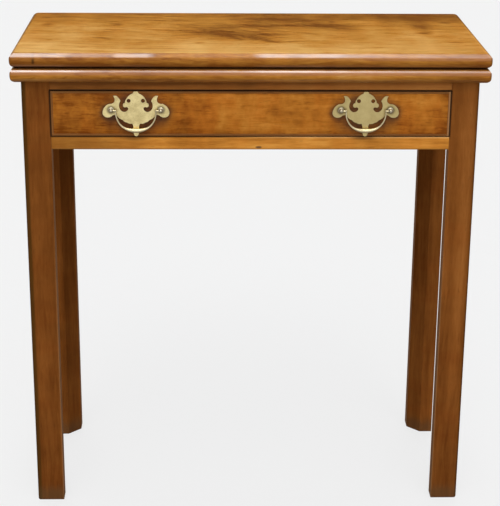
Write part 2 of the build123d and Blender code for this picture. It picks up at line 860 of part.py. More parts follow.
with BuildPart() as drawer_back:
    back_front = drawer_end - drawer_board_thickness
    board(drawer_x, (back_front, drawer_end), (panel_top, back_top))
    for side, sign in sides:
        with BuildSketch(Plane.YZ.offset(min(sign * drawer_inner, sign * drawer_outer))):
            tails(back_front, drawer_end, panel_top, back_top, drawer_tail_count)
        extrude(amount=drawer_board_thickness, mode=Mode.SUBTRACT)
    add(bottom_nails.part, mode=Mode.SUBTRACT)
keep(drawer_back, "drawer_back")

for side, sign in sides:
    with BuildPart() as drawer_side:
        side_x = (sign * drawer_inner, sign * drawer_outer)
        groove_x = (sign * drawer_inner, sign * panel_side)
        board(side_x, (lap_front, drawer_end), (drawer_bottom_edge, side_top))
        board(groove_x, (panel_front, drawer_end), panel_z, Mode.SUBTRACT)
        add(drawer_front.part, mode=Mode.SUBTRACT)
        add(drawer_back.part, mode=Mode.SUBTRACT)
    keep(drawer_side, f"drawer_side_{side}")

with BuildPart() as drawer_bottom:
    board(panel_x, (panel_front, drawer_end), panel_z)
    add(bottom_nails.part, mode=Mode.SUBTRACT)
keep(drawer_bottom, "drawer_bottom")
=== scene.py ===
import math
import random

import bmesh
import bpy
from mathutils import Matrix, Vector


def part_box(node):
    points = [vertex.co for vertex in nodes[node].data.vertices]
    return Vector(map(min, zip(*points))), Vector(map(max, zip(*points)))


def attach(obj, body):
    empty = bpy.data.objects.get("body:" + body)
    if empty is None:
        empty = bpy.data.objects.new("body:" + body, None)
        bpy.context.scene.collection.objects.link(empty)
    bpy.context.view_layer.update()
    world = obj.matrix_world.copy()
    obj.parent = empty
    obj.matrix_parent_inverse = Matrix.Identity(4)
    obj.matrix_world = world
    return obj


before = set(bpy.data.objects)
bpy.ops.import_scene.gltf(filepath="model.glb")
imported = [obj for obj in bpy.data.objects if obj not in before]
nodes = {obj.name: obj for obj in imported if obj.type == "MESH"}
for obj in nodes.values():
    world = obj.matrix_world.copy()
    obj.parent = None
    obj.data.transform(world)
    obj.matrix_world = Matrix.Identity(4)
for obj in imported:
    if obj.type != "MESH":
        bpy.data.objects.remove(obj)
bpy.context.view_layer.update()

SIDES = ("left", "right")
AO_SAMPLES = 6
WANDER_DETAIL = 2.0

# Middle of every noise and of every shade
MIDDLE = 0.5


# Shader building
class NodeTree:
    """A node tree under construction. Each call adds a node and returns its output."""

    def __init__(self, owner):
        owner.use_nodes = True
        self.tree = owner.node_tree

    def add(self, kind, **settings):
        node = self.tree.nodes.new(kind)
        for name, value in settings.items():
            setattr(node, name, value)
        return node

    def put(self, socket, value):
        """Link an output to a socket, or set a plain value on it."""
        if isinstance(value, bpy.types.NodeSocket):
            self.tree.links.new(value, socket)
        else:
            socket.default_value = value

    def calc(self, operation, *values, clamp=False):
        node = self.add("ShaderNodeMath", operation=operation, use_clamp=clamp)
        for socket, value in zip(node.inputs, values):
            self.put(socket, value)
        return node.outputs[0]

    def product(self, first, *others):
        """All the values multiplied together."""
        for value in others:
            first = self.calc("MULTIPLY", first, value)
        return first

    def away(self, value, centre):
        """How far the value is from a centre, either way."""
        return self.calc("ABSOLUTE", self.calc("SUBTRACT", value, centre))

    def spread(self, value, low, high, first=0.0, last=1.0):
        """A smooth step from first at low to last at high."""
        node = self.add("ShaderNodeMapRange", interpolation_type="SMOOTHSTEP")
        for name, setting in (
            ("Value", value), ("From Min", low), ("From Max", high),
            ("To Min", first), ("To Max", last),
        ):
            self.put(node.inputs[name], setting)
        return node.outputs[0]

    def blend(self, factor, first, second, mode="MIX"):
        """Two colours mixed, each given as a tuple or an output."""
        node = self.add("ShaderNodeMix", data_type="RGBA", blend_type=mode)
        colours = [socket for socket in node.inputs if socket.type == "RGBA"]
        self.put(node.inputs[0], factor)
        for socket, value in zip(colours, (first, second)):
            self.put(socket, (*value, 1) if isinstance(value, tuple) else value)
        return node.outputs[2]

    def parts(self, vector):
        """The X, Y and Z of a vector."""
        node = self.add("ShaderNodeSeparateXYZ")
        self.put(node.inputs[0], vector)
        return node.outputs


class Shader(NodeTree):
    """A material, with its surface and the place on the object that its patterns start from."""

    def __init__(self, name):
        self.material = bpy.data.materials.new(name)
        super().__init__(self.material)
        self.surface = self.tree.nodes["Principled BSDF"]
        self.place = self.add("ShaderNodeTexCoord").outputs["Object"]

    def set(self, name, value):
        """Give the surface a value of its own or an output."""
        self.put(self.surface.inputs[name], value)

    def vector(self, operation, *values):
        node = self.add("ShaderNodeVectorMath", operation=operation)
        for socket, value in zip(node.inputs, values):
            self.put(socket, value)
        return node.outputs["Value"] if operation == "LENGTH" else node.outputs["Vector"]

    def mapped(self, vector, scale=(1, 1, 1), offset=(0, 0, 0)):
        node = self.add("ShaderNodeMapping")
        self.put(node.inputs["Vector"], vector)
        node.inputs["Scale"].default_value = scale
        node.inputs["Location"].default_value = offset
        return node.outputs[0]

    def turned(self, vector, turn, size, centre=(0, 0, 0)):
        """The vector in a frame turned about Z, measured in sizes from a centre."""
        node = self.add("ShaderNodeMapping", vector_type="TEXTURE")
        self.put(node.inputs["Vector"], vector)
        node.inputs["Location"].default_value = centre
        node.inputs["Rotation"].default_value = (0, 0, math.radians(turn))
        node.inputs["Scale"].default_value = size
        return node.outputs[0]

    def noise(self, vector, scale, detail=3.0, roughness=0.55, distortion=0.0):
        node = self.add("ShaderNodeTexNoise")
        self.put(node.inputs["Vector"], vector)
        node.inputs["Scale"].default_value = scale
        node.inputs["Detail"].default_value = detail
        node.inputs["Roughness"].default_value = roughness
        node.inputs["Distortion"].default_value = distortion
        return node.outputs[0]

    def shift(self, vector, scale, amount):
        """The vector pushed about by a slow noise, so that straight grain wanders."""
        node = self.add("ShaderNodeTexNoise")
        self.put(node.inputs["Vector"], vector)
        node.inputs["Scale"].default_value = scale
        node.inputs["Detail"].default_value = WANDER_DETAIL
        centred = self.vector("SUBTRACT", node.outputs["Color"], (MIDDLE, MIDDLE, MIDDLE))
        scaled = self.vector("MULTIPLY", centred, (amount, amount, amount))
        return self.vector("ADD", vector, scaled)

    def ramp(self, value, stops):
        """A colour that runs through stops, each a position from 0 to 1 and a colour."""
        node = self.add("ShaderNodeValToRGB")
        self.put(node.inputs[0], value)
        elements = node.color_ramp.elements
        while len(elements) < len(stops):
            elements.new(0.5)
        for element, (position, colour) in zip(elements, stops):
            element.position = position
            element.color = (*colour, 1)
        return node.outputs[0]

    def profile(self, value, points):
        """A value that runs through the given points, from the first place to the last."""
        start, end = points[0][0], points[-1][0]
        share = self.calc("DIVIDE", self.calc("SUBTRACT", value, start), end - start, clamp=True)
        return self.ramp(share, [((place - start) / (end - start), 3 * (level,)) for place, level in points])

    def oval(self, centre, reach, soft):
        """1 inside an ellipsoid and 0 outside, with a soft rim that is a share of its reach."""
        centred = self.vector("SUBTRACT", self.place, centre)
        distance = self.vector("LENGTH", self.vector("DIVIDE", centred, reach))
        return self.spread(distance, 1.0, 1.0 - soft)

    def turned_oval(self, centre, reach, turn, soft):
        """The same, turned about Z."""
        distance = self.vector("LENGTH", self.turned(self.place, turn, reach, centre))
        return self.spread(distance, 1.0, 1.0 - soft)

    def crevice(self, distance):
        """1 in a tight corner and 0 in the open."""
        node = self.add("ShaderNodeAmbientOcclusion", samples=AO_SAMPLES)
        node.inputs["Distance"].default_value = distance
        return self.calc("SUBTRACT", 1.0, node.outputs["AO"])

    def relief(self, height):
        """Bump from a height in metres."""
        node = self.add("ShaderNodeBump")
        node.inputs["Strength"].default_value = 1.0
        node.inputs["Distance"].default_value = 1.0
        self.put(node.inputs["Height"], height)
        self.set("Normal", node.outputs[0])


def darkened(colour, share):
    return tuple(share * channel for channel in colour)


# How the noises of the wood are squeezed for each direction of the grain
GRAIN = {"X": (0.07, 1, 1), "Y": (1, 0.07, 1), "Z": (1, 1, 0.07)}
FLECK = {"X": (0.2, 1, 1), "Y": (1, 0.2, 1), "Z": (1, 1, 0.2)}
CROSS = {"X": (1, 0.35, 0.35), "Y": (0.35, 1, 0.35), "Z": (0.35, 0.35, 1)}

# Noises of the wood, from coarse to fine. A noise, here and below, holds what Shader.noise takes:
# scale, detail, roughness and distortion
WANDER_SCALE = 3.5
SLOW_NOISE = (5.0, 2.0, 0.5)
WAVE_NOISE = (11.0, 2.0, 0.5)
BLOTCH_NOISE = (22.0, 3.0, 0.5)
RED_NOISE = (30.0, 3.0)
STREAK_NOISE = (45.0, 5.0, 0.62, 0.4)
LINE_NOISE = (210.0, 4.0, 0.65)
FLECK_NOISE = (260.0, 3.0, 0.6)
FIBRE_NOISE = (700.0, 2.0, 0.6)

# How much each of them changes the shade, beside a wood's own streak and mottle
SLOW_WEIGHT = 0.9
BLOTCH_WEIGHT = 1.6
STREAK_WEIGHT = 2.4
LINE_WEIGHT = 1.3
FLECK_WEIGHT = 0.7
FIBRE_WEIGHT = 0.5

# Ranges in them that count. A range, here and below, holds what Shader.spread takes: low, high
# and, if they aren't 0 and 1, first and last
PIT_RANGE = (0.60, 0.74)
RED_RANGE = (0.42, 0.68)
CORNER_RANGE = (0.42, 0.95)

# Where the dark, middle and light tones stand in the shade, and the share that the dark one keeps
# in pits, and in corners where it is dirt and painted shade
TONE_STOPS = (0.05, 0.5, 0.95)
PIT_SHARE = 0.4
CORNER_SHARE = 0.22
PIT_STRENGTH = 0.6
CORNER_REACH = 0.012
RED_OFFSET = (3, 5, 7)
REDDENING = (1.0, 0.80, 0.62)

# Surface of the wood
SHEEN = (1.0, 0.60, 0.30)
COAT_ROUGHNESS = 0.14
LINE_ROUGHNESS = 0.18
PIT_ROUGHNESS = 0.1
PIT_DEPTH = 0.00003
LINE_HEIGHT = 0.00004


def wood(name, grain, tones, streak=0.5, mottle=0.3, pores=0.5, rough=0.36, gloss=0.15,
         dirt=0.5, wander=0.02, blush=0.3, marks=None, waves=0.00012, broad=1.0):
    """Polished or dry wood: streaks along the grain, fine lines, flecks, mottle, and dirt and painted
    shade in corners.

    Tones are the dark, middle and light colours, and broad is how strong the wide streaks are
    beside the fine ones. Marks is a function that adds what one piece alone shows: it gets the
    shader and the shade, and returns a shade and stains.
    """
    shader = Shader(name)
    place = shader.place
    wandering = shader.shift(place, WANDER_SCALE, wander)
    along = shader.mapped(wandering, GRAIN[grain])
    streaks = shader.noise(along, *STREAK_NOISE)
    lines = shader.noise(along, *LINE_NOISE)
    fibres = shader.noise(along, *FIBRE_NOISE)
    blotches = shader.noise(shader.mapped(place, CROSS[grain]), *BLOTCH_NOISE)
    slow = shader.noise(place, *SLOW_NOISE)
    flecks = shader.noise(shader.mapped(wandering, FLECK[grain]), *FLECK_NOISE)
    pits = shader.spread(flecks, *PIT_RANGE)

    shade = MIDDLE
    for layer, weight in (
        (streaks, STREAK_WEIGHT * streak * broad), (lines, LINE_WEIGHT * streak),
        (fibres, FIBRE_WEIGHT * streak), (flecks, FLECK_WEIGHT * streak),
        (blotches, BLOTCH_WEIGHT * mottle), (slow, SLOW_WEIGHT * mottle),
    ):
        centred = shader.calc("SUBTRACT", layer, MIDDLE)
        shade = shader.calc("MULTIPLY_ADD", centred, weight, shade)
    stains = ()
    if marks:
        shade, stains = marks(shader, shade)
    dark = tones[0]
    colour = shader.ramp(shade, tuple(zip(TONE_STOPS, tones)))
    redder = shader.noise(shader.mapped(place, CROSS[grain], RED_OFFSET), *RED_NOISE)
    colour = shader.blend(shader.spread(redder, *RED_RANGE, 0.0, blush), colour, REDDENING, "MULTIPLY")
    colour = shader.blend(shader.product(pits, PIT_STRENGTH * pores), colour, darkened(dark, PIT_SHARE))
    for amount, stain in stains:
        colour = shader.blend(amount, colour, stain)
    # Corners darkened from ambient occlusion: partly dirt, partly painted shade
    corner = shader.spread(shader.crevice(CORNER_REACH), *CORNER_RANGE, 0.0, dirt)
    shader.set("Base Color", shader.blend(corner, colour, darkened(dark, CORNER_SHARE)))

    roughness = shader.calc("MULTIPLY_ADD", lines, LINE_ROUGHNESS, rough - LINE_ROUGHNESS / 2)
    shader.set("Roughness", shader.calc("MULTIPLY_ADD", pits, PIT_ROUGHNESS, roughness))
    shader.set("Coat Roughness", COAT_ROUGHNESS)
    shader.set("Specular IOR Level", gloss)
    shader.set("Specular Tint", (*SHEEN, 1))
    height = shader.product(shader.noise(place, *WAVE_NOISE), waves)
    height = shader.calc("MULTIPLY_ADD", pits, -PIT_DEPTH * pores, height)
    shader.relief(shader.calc("MULTIPLY_ADD", lines, LINE_HEIGHT, height))
    return shader.material


# Colours of the woods, from dark to light
TOP_TONES = ((0.17, 0.055, 0.006), (0.47, 0.202, 0.029), (0.70, 0.41, 0.130))
LEG_TONES = ((0.12, 0.034, 0.005), (0.225, 0.072, 0.013), (0.33, 0.12, 0.026))
RAIL_TONES = ((0.34, 0.115, 0.012), (0.60, 0.235, 0.034), (0.80, 0.38, 0.075))
TOP_RAIL_TONES = ((0.16, 0.05, 0.008), (0.33, 0.115, 0.022), (0.46, 0.18, 0.04))
DRAWER_TONES = ((0.20, 0.052, 0.004), (0.44, 0.150, 0.016), (0.62, 0.25, 0.038))
BEAD_TONES = ((0.12, 0.042, 0.010), (0.24, 0.095, 0.026), (0.36, 0.16, 0.055))
OAK_TONES = ((0.16, 0.092, 0.040), (0.30, 0.190, 0.095), (0.42, 0.29, 0.16))
PINE_TONES = ((0.24, 0.135, 0.055), (0.42, 0.27, 0.13), (0.55, 0.39, 0.22))
# Near-black tone of grime in the repaired crack, and of painted shade in the joints and gaps
GRIME_AND_SHADE = (0.030, 0.013, 0.006)

# Places on the leaves
JOINT_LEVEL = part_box("folding_leaf")[0].z
TOP_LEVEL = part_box("folding_leaf")[1].z
LEAF_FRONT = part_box("folding_leaf")[0].y
LEAF_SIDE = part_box("folding_leaf")[1].x
LEAF_HALF = (TOP_LEVEL - JOINT_LEVEL) / 2

# Painted light on the top, paler at the front and darker at the back, with 0.5 for no change, and
# what is added from left to right
TOP_PAINTED_LIGHT = ((-0.158, 0.80), (-0.120, 0.73), (-0.060, 0.62), (0.020, 0.57), (0.090, 0.44), (0.158, 0.33))
TOP_DRIFT = (-0.1, 0.2, 0.02, -0.05)
BACK_BAND_Y = (0.085, 0.125)
BACK_BAND_X = (-0.12, 0.0)
BACK_BAND_DEPTH = 0.16

# Figure of the top: centre X and Y, half length, half width, turn, and how much darker it is
TOP_PATCHES = (
    (-0.015, -0.008, 0.135, 0.095, -20, 0.40),
    (0.060, 0.068, 0.150, 0.070, -15, 0.32),
    (-0.050, 0.000, 0.060, 0.030, -25, 0.20),
    (-0.005, -0.042, 0.060, 0.028, -20, 0.20),
    (0.035, -0.068, 0.028, 0.014, -10, 0.30),
    (-0.075, -0.078, 0.013, 0.010, 20, 0.30),
    (0.130, 0.050, 0.060, 0.034, -40, 0.16),
    (0.267, 0.060, 0.028, 0.085, 0, 0.26),
    (0.267, -0.003, 0.020, 0.014, 0, 0.28),
    (-0.312, 0.060, 0.013, 0.013, 0, 0.25),
    (-0.205, 0.062, 0.018, 0.012, -30, 0.30),
    (-0.145, 0.020, 0.060, 0.010, -12, 0.18),
    (-0.215, -0.050, 0.024, 0.013, -30, 0.18),
    (-0.135, -0.032, 0.017, 0.012, 0, 0.15),
    (0.305, -0.072, 0.016, 0.009, 0, 0.28),
    (0.132, 0.084, 0.008, 0.012, 0, 0.25),
    (0.095, -0.008, 0.022, 0.012, -30, 0.22),
    (0.062, -0.068, 0.012, 0.007, 0, 0.30),
    (0.310, 0.080, 0.014, 0.012, 0, 0.16),
)
PATCH_THICKNESS = 0.03
PATCH_SOFTNESS = 0.85
FLAME_TURN = -37
FLAME_STRETCH = (6, 1, 1)
FLAME_WANDER = (9.0, 0.03)
FLAME_NOISE = (120.0, 4.0, 0.65, 0.6)
FLAME_CONTRAST = (0.36, 0.60, 1.30, 0.75)
VEIN_TURN = -11
VEIN_STRETCH = (9, 1, 1)
VEIN_WANDER = (6.0, 0.02)
VEIN_NOISE = (150.0, 3.0, 0.6)
VEIN_CONTRAST = (0.54, 0.66)
VEIN_X = (-0.02, -0.12, 0.0, 0.22)


def top_figure(shader, shade, x, y):
    """Painted light, paler front and darker back, flames inside soft patches, and fine veins on the left."""
    # Painted light: paler at the front, darker at the back
    shade = shader.calc("ADD", shade, shader.calc("SUBTRACT", shader.profile(y, TOP_PAINTED_LIGHT), MIDDLE))
    shade = shader.calc("ADD", shade, shader.spread(x, *TOP_DRIFT))
    band = shader.product(shader.spread(y, *BACK_BAND_Y), shader.spread(x, *BACK_BAND_X))
    shade = shader.calc("MULTIPLY_ADD", band, -BACK_BAND_DEPTH, shade)

    slanted = shader.turned(shader.shift(shader.place, *FLAME_WANDER), FLAME_TURN, FLAME_STRETCH)
    flames = shader.spread(shader.noise(slanted, *FLAME_NOISE), *FLAME_CONTRAST)
    for centre_x, centre_y, length, width, turn, depth in TOP_PATCHES:
        centre = (centre_x, centre_y, TOP_LEVEL)
        mask = shader.turned_oval(centre, (length, width, PATCH_THICKNESS), turn, PATCH_SOFTNESS)
        shade = shader.calc("MULTIPLY_ADD", shader.product(mask, flames), -depth, shade)

    slanted = shader.turned(shader.shift(shader.place, *VEIN_WANDER), VEIN_TURN, VEIN_STRETCH)
    veins = shader.spread(shader.noise(slanted, *VEIN_NOISE), *VEIN_CONTRAST)
    return shader.calc("SUBTRACT", shade, shader.product(veins, shader.spread(x, *VEIN_X)))


# Masks of the leaves' edges: of the front and the sides as far as they are polished, and of the
# sides as far as they are darker
FRONT_EDGE = (LEAF_FRONT + 0.0095, LEAF_FRONT + 0.0060)
SIDE_EDGE = (LEAF_SIDE - 0.0095, LEAF_SIDE - 0.0060)
SIDE_RIM = (LEAF_SIDE - 0.0050, LEAF_SIDE - 0.0020, 0.0, 0.8)
UPPER_LEAF = (JOINT_LEVEL - 0.0002, JOINT_LEVEL)

# Tone of each leaf's edge along X, with 1 for no change
UPPER_EDGE = ((-0.346, 0.40), (-0.150, 0.46), (0.0, 0.46), (0.20, 0.60), (0.346, 0.62))
LOWER_EDGE = ((-0.346, 0.60), (-0.150, 0.60), (0.0, 0.62), (0.20, 0.66), (0.346, 0.66))
EDGE_RED = (0.40, 0.12, 0.022)
EDGE_RED_SHARE = 0.18

# Height is measured from the middle of each leaf, and level from the joint between them
# Painted shade on the lower half of each leaf's rounded edge
UNDERSIDE_PAINTED_SHADE = (0.0015, -0.0060, 0.0, -0.17)
# Painted sheen on the upper half of each leaf's edge, mostly lost on the upper leaf's left
PAINTED_SHEEN_HEIGHT = 0.0042
PAINTED_SHEEN_REACH = (0.0045, 0.0010, 0.0, 0.45)
PAINTED_SHEEN_LOST_X = (0.08, 0.25, 0.85, 0.2)
PAINTED_SHEEN_TONE = (0.38, 0.175, 0.115)
# Painted shade on the edges beside the joint between the leaves
JOINT_PAINTED_SHADE = (0.0028, 0.0012, 0.0, 0.75)
INNER_FACE = (0.0035, 0.0008, 0.0, 0.75)
INNER_TONE = (0.21, 0.068, 0.018)

# Crack of the repaired left corner
REPAIR_X = -0.3112
REPAIR_WIDTH = (0.0032, 0.0004)
REPAIR_STRENGTH = 0.9
REPAIR_LEVELS = (
    (JOINT_LEVEL, 0.0), (JOINT_LEVEL + 0.005, 0.1), (JOINT_LEVEL + 0.008, 0.85),
    (JOINT_LEVEL + 0.012, 0.85), (JOINT_LEVEL + 0.015, 0.25), (TOP_LEVEL, 0.05),
)

# How well each leaf's edge is polished along X, and where on its rounding
UPPER_POLISH = (
    (-0.346, 0.60), (-0.275, 0.60), (-0.255, 0.30), (-0.200, 0.22), (-0.190, 0.55), (-0.150, 0.55),
    (-0.136, 0.08), (0.000, 0.08), (0.018, 0.60), (0.120, 0.62), (0.150, 0.38), (0.260, 0.28), (0.346, 0.22),
)
LOWER_POLISH = (
    (-0.346, 1.0), (-0.262, 0.95), (-0.235, 0.50), (-0.130, 0.38), (-0.010, 0.42), (0.016, 0.80),
    (0.120, 0.85), (0.150, 0.50), (0.260, 0.40), (0.346, 0.32),
)
POLISHED_HEIGHT = (0.0040, 0.0070)
POLISHED_LEVEL = (0.0010, 0.0028)
POLISH_STRETCH = (1, 4, 4)
POLISH_NOISE = (28.0, 3.0)
POLISH_WEAR = (0.30, 0.60, 0.70, 1.0)
POLISH_IOR = 2.4


def leaf_polish(shader, x, edge, upper, level):
    """A clear coat on the rounded edges alone, worn unevenly along them."""
    polish = shader.blend(upper, shader.profile(x, LOWER_POLISH), shader.profile(x, UPPER_POLISH))
    worn = shader.noise(shader.mapped(shader.place, POLISH_STRETCH), *POLISH_NOISE)
    worn = shader.spread(worn, *POLISH_WEAR)
    rounding = shader.spread(shader.away(level, LEAF_HALF), *POLISHED_HEIGHT)
    clear_of_joint = shader.spread(level, *POLISHED_LEVEL)
    shader.set("Coat Weight", shader.product(polish, worn, edge, rounding, clear_of_joint))
    shader.set("Coat IOR", POLISH_IOR)


def top_marks(shader, shade):
    """Figure of the top, dark edges with painted shade below and a painted sheen, painted shade at the
    joint, the repaired corner and the rosy inner faces.
    """
    x, y, z = shader.parts(shader.place)
    shade = top_figure(shader, shade, x, y)
    from_middle = shader.calc("ABSOLUTE", x)
    front = shader.spread(y, *FRONT_EDGE)
    edge = shader.calc("MAXIMUM", front, shader.spread(from_middle, *SIDE_EDGE))
    rim = shader.calc("MAXIMUM", front, shader.spread(from_middle, *SIDE_RIM))
    upper = shader.spread(z, *UPPER_LEAF)
    level = shader.away(z, JOINT_LEVEL)
    leaf_polish(shader, x, edge, upper, level)

    tone = shader.blend(upper, shader.profile(x, LOWER_EDGE), shader.profile(x, UPPER_EDGE))
    shade = shader.calc("MULTIPLY_ADD", rim, shader.calc("SUBTRACT", tone, 1.0), shade)
    leaf_middle = shader.calc("MULTIPLY_ADD", upper, 2 * LEAF_HALF, JOINT_LEVEL - LEAF_HALF)
    height = shader.calc("SUBTRACT", z, leaf_middle)
    # Painted shade on the underside of each edge
    shade = shader.calc("MULTIPLY_ADD", shader.spread(height, *UNDERSIDE_PAINTED_SHADE), rim, shade)
    # Painted sheen along the upper half of each edge
    painted_sheen = shader.spread(shader.away(height, PAINTED_SHEEN_HEIGHT), *PAINTED_SHEEN_REACH)
    lost = shader.product(upper, shader.spread(x, *PAINTED_SHEEN_LOST_X))
    painted_sheen = shader.product(painted_sheen, rim, shader.calc("SUBTRACT", 1.0, lost))
    crack = shader.spread(shader.away(x, REPAIR_X), *REPAIR_WIDTH)
    crack = shader.product(crack, front, shader.profile(z, REPAIR_LEVELS), REPAIR_STRENGTH)
    return shade, (
        (shader.product(rim, EDGE_RED_SHARE), EDGE_RED),
        (painted_sheen, PAINTED_SHEEN_TONE),
        (shader.spread(level, *INNER_FACE), INNER_TONE),
        # Painted shade beside the joint
        (shader.product(shader.spread(level, *JOINT_PAINTED_SHADE), rim), GRIME_AND_SHADE),
        (crack, GRIME_AND_SHADE),
    )


# Places on the front legs and the rails between them
LEG_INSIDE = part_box("front_leg_right")[0].x
LEG_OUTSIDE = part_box("front_leg_right")[1].x
LEG_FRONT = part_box("front_leg_right")[0].y
OPENING_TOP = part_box("top_front_rail")[0].z
RAIL_LOW, RAIL_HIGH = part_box("bottom_front_rail")

# Which legs are meant, and what is added to their shade between two heights
RIGHT_LEGS_X = (-0.01, 0.01)
BACK_LEGS_Y = (0.0, 0.02)
LEG_FADE = (0.45, 0.0, -0.15, -0.29)
RIGHT_FADE = (0.15, 0.6, 0.0, 0.18)
# Painted shade on the back legs, darker up under the top
BACK_LEG_PAINTED_SHADE = (0.1, 0.6, 0.06, -0.34)
STREAK_X = LEG_INSIDE + 0.025
STREAK_WIDTH = (0.013, 0.003, -0.07, 0.15)
STREAK_Z = (0.1, 0.4)

# Edges of the front legs: painted shade outside, that is narrower and weaker on the right, and
# wear with a painted highlight inside
FRONT_ARRIS_Y = (LEG_FRONT + 0.006, LEG_FRONT + 0.002)
OUTER_WIDTH = 0.0080
OUTER_LESS_WIDTH = 0.0030
OUTER_FADE = 0.0030
OUTER_STRENGTH = 0.80
OUTER_LESS_STRENGTH = 0.35
OUTER_SHADE_TONE = (0.060, 0.026, 0.004)
INNER_ARRIS_X = (LEG_INSIDE + 0.0022, LEG_INSIDE + 0.0008)
# Paler inner arris: wear with a painted highlight
INNER_WEAR_AND_HIGHLIGHT_Z = (RAIL_LOW.z - 0.05, RAIL_LOW.z - 0.30, 0.0, 0.45)
INNER_WEAR_AND_HIGHLIGHT_TONE = (0.30, 0.15, 0.060)
# Painted shade of the drawer's gap along the inner arris beside the opening
LEG_GAP_SHADE_BOTTOM_Z = (RAIL_LOW.z + 0.014, RAIL_LOW.z + 0.022, 0.0, 0.85)
LEG_GAP_SHADE_TOP_Z = (OPENING_TOP + 0.001, OPENING_TOP)
FOOT_Z = (0.020, 0.0, 0.0, 0.5)
FOOT_RAGGED = 0.02
FOOT_STRETCH = (1, 1, 0.3)
FOOT_NOISE = (90.0, 3.0)
FOOT_TONE = (0.085, 0.048, 0.022)


def leg_marks(shader, shade):
    """Painted shade on the outer edges, in the drawer's gap and up the back legs, rubbed inner edges
    with a painted highlight, dark feet and redder right legs.
    """
    x, y, z = shader.parts(shader.place)
    across = shader.calc("ABSOLUTE", x)
    right = shader.spread(x, *RIGHT_LEGS_X)
    behind = shader.spread(y, *BACK_LEGS_Y)
    streak = shader.spread(shader.away(across, STREAK_X), *STREAK_WIDTH)
    redder = shader.product(right, shader.spread(z, *RIGHT_FADE))
    redder = shader.calc("MULTIPLY_ADD", shader.product(streak, right), shader.spread(z, *STREAK_Z), redder)
    shade = shader.calc("ADD", shader.calc("ADD", shade, shader.spread(z, *LEG_FADE)), redder)
    # Painted shade on the back legs under the top
    shade = shader.calc("MULTIPLY_ADD", behind, shader.spread(z, *BACK_LEG_PAINTED_SHADE), shade)

    near_front = shader.spread(y, *FRONT_ARRIS_Y)
    start = shader.calc("MULTIPLY_ADD", right, OUTER_LESS_WIDTH, LEG_OUTSIDE - OUTER_WIDTH)
    outer = shader.calc("DIVIDE", shader.calc("SUBTRACT", across, start), OUTER_FADE, clamp=True)
    strength = shader.calc("MULTIPLY_ADD", right, -OUTER_LESS_STRENGTH, OUTER_STRENGTH)
    inner = shader.product(shader.spread(across, *INNER_ARRIS_X), near_front)
    # Painted shade of the drawer's gap
    gap_shade = shader.product(inner, shader.spread(z, *LEG_GAP_SHADE_BOTTOM_Z), shader.spread(z, *LEG_GAP_SHADE_TOP_Z))
    ragged = shader.noise(shader.mapped(shader.place, FOOT_STRETCH), *FOOT_NOISE)
    level = shader.calc("MULTIPLY_ADD", ragged, -FOOT_RAGGED, z)
    return shade, (
        # Wear with a painted highlight on the inner arris
        (shader.product(inner, shader.spread(z, *INNER_WEAR_AND_HIGHLIGHT_Z)), INNER_WEAR_AND_HIGHLIGHT_TONE),
        (gap_shade, GRIME_AND_SHADE),
        # Painted shade along the outer edge of each front leg
        (shader.product(outer, near_front, strength), OUTER_SHADE_TONE),
        (shader.spread(level, *FOOT_Z), FOOT_TONE),
    )


# Top rail, by height above its lower edge and along X
# Painted shadow of the leaf on the top of the rail
TOP_RAIL_PAINTED_SHADOW = (OPENING_TOP + 0.0050, OPENING_TOP + 0.0100, 0.0, -0.32)
TOP_RAIL_FADE = (-0.3, 0.3, -0.38, 0.12)
# Painted shade of the drawer's gap along the rail's lower edge
TOP_RAIL_GAP_SHADE = (OPENING_TOP + 0.0018, OPENING_TOP + 0.0006, 0.0, 0.85)


def top_rail_marks(shader, shade):
    """Painted shadow under the leaf, darker to the left, painted gap shade on the lower edge."""
    x, _, z = shader.parts(shader.place)
    added = shader.calc("ADD", shader.spread(z, *TOP_RAIL_PAINTED_SHADOW), shader.spread(x, *TOP_RAIL_FADE))
    return shader.calc("ADD", shade, added), ((shader.spread(z, *TOP_RAIL_GAP_SHADE), GRIME_AND_SHADE),)


# Bottom rail: its ends, its edges with a painted highlight and painted shade of the drawer's gap at
# the top, a chip in the middle and dark spots under the bails
RAIL_FADE = (-0.30, 0.02, -0.34, 0.14)
RAIL_LEFT_X = (-0.10, -0.26, 0.0, 0.55)
RAIL_LEFT_TONE = (0.24, 0.098, 0.018)
# Painted highlight along the upper edge
RAIL_HIGHLIGHT_Z = (RAIL_HIGH.z - 0.0028, RAIL_HIGH.z - 0.0008, 0.0, 0.5)
RAIL_HIGHLIGHT_X = (-0.1, 0.1)
RAIL_HIGHLIGHT_TONE = (0.72, 0.42, 0.17)
# Painted shade of the drawer's gap along the upper edge
RAIL_GAP_SHADE_Z = (RAIL_HIGH.z - 0.0016, RAIL_HIGH.z - 0.0006, 0.0, 0.7)
RAIL_GAP_SHADE_X = (0.05, -0.05)
LOWER_ARRIS_Z = (RAIL_LOW.z + 0.0026, RAIL_LOW.z + 0.0006, 0.0, 0.55)
LOWER_ARRIS_TONE = (0.13, 0.060, 0.018)
CHIP_PLACE = (0.0115, RAIL_LOW.y, RAIL_LOW.z + 0.0035)
CHIP_REACH = (0.0060, 0.01, 0.0022)
CHIP_SOFTNESS = 0.5
CHIP_STRENGTH = 0.8
CHIP_TONE = (0.060, 0.028, 0.020)
BAIL_MARK_SHIFT = 0.003
BAIL_MARK_REACH = (0.028, 0.02, 0.008)
BAIL_MARK_SOFTNESS = 0.9
BAIL_MARK_STRENGTH = 0.65
BAIL_MARK_TONE = (0.085, 0.036, 0.012)


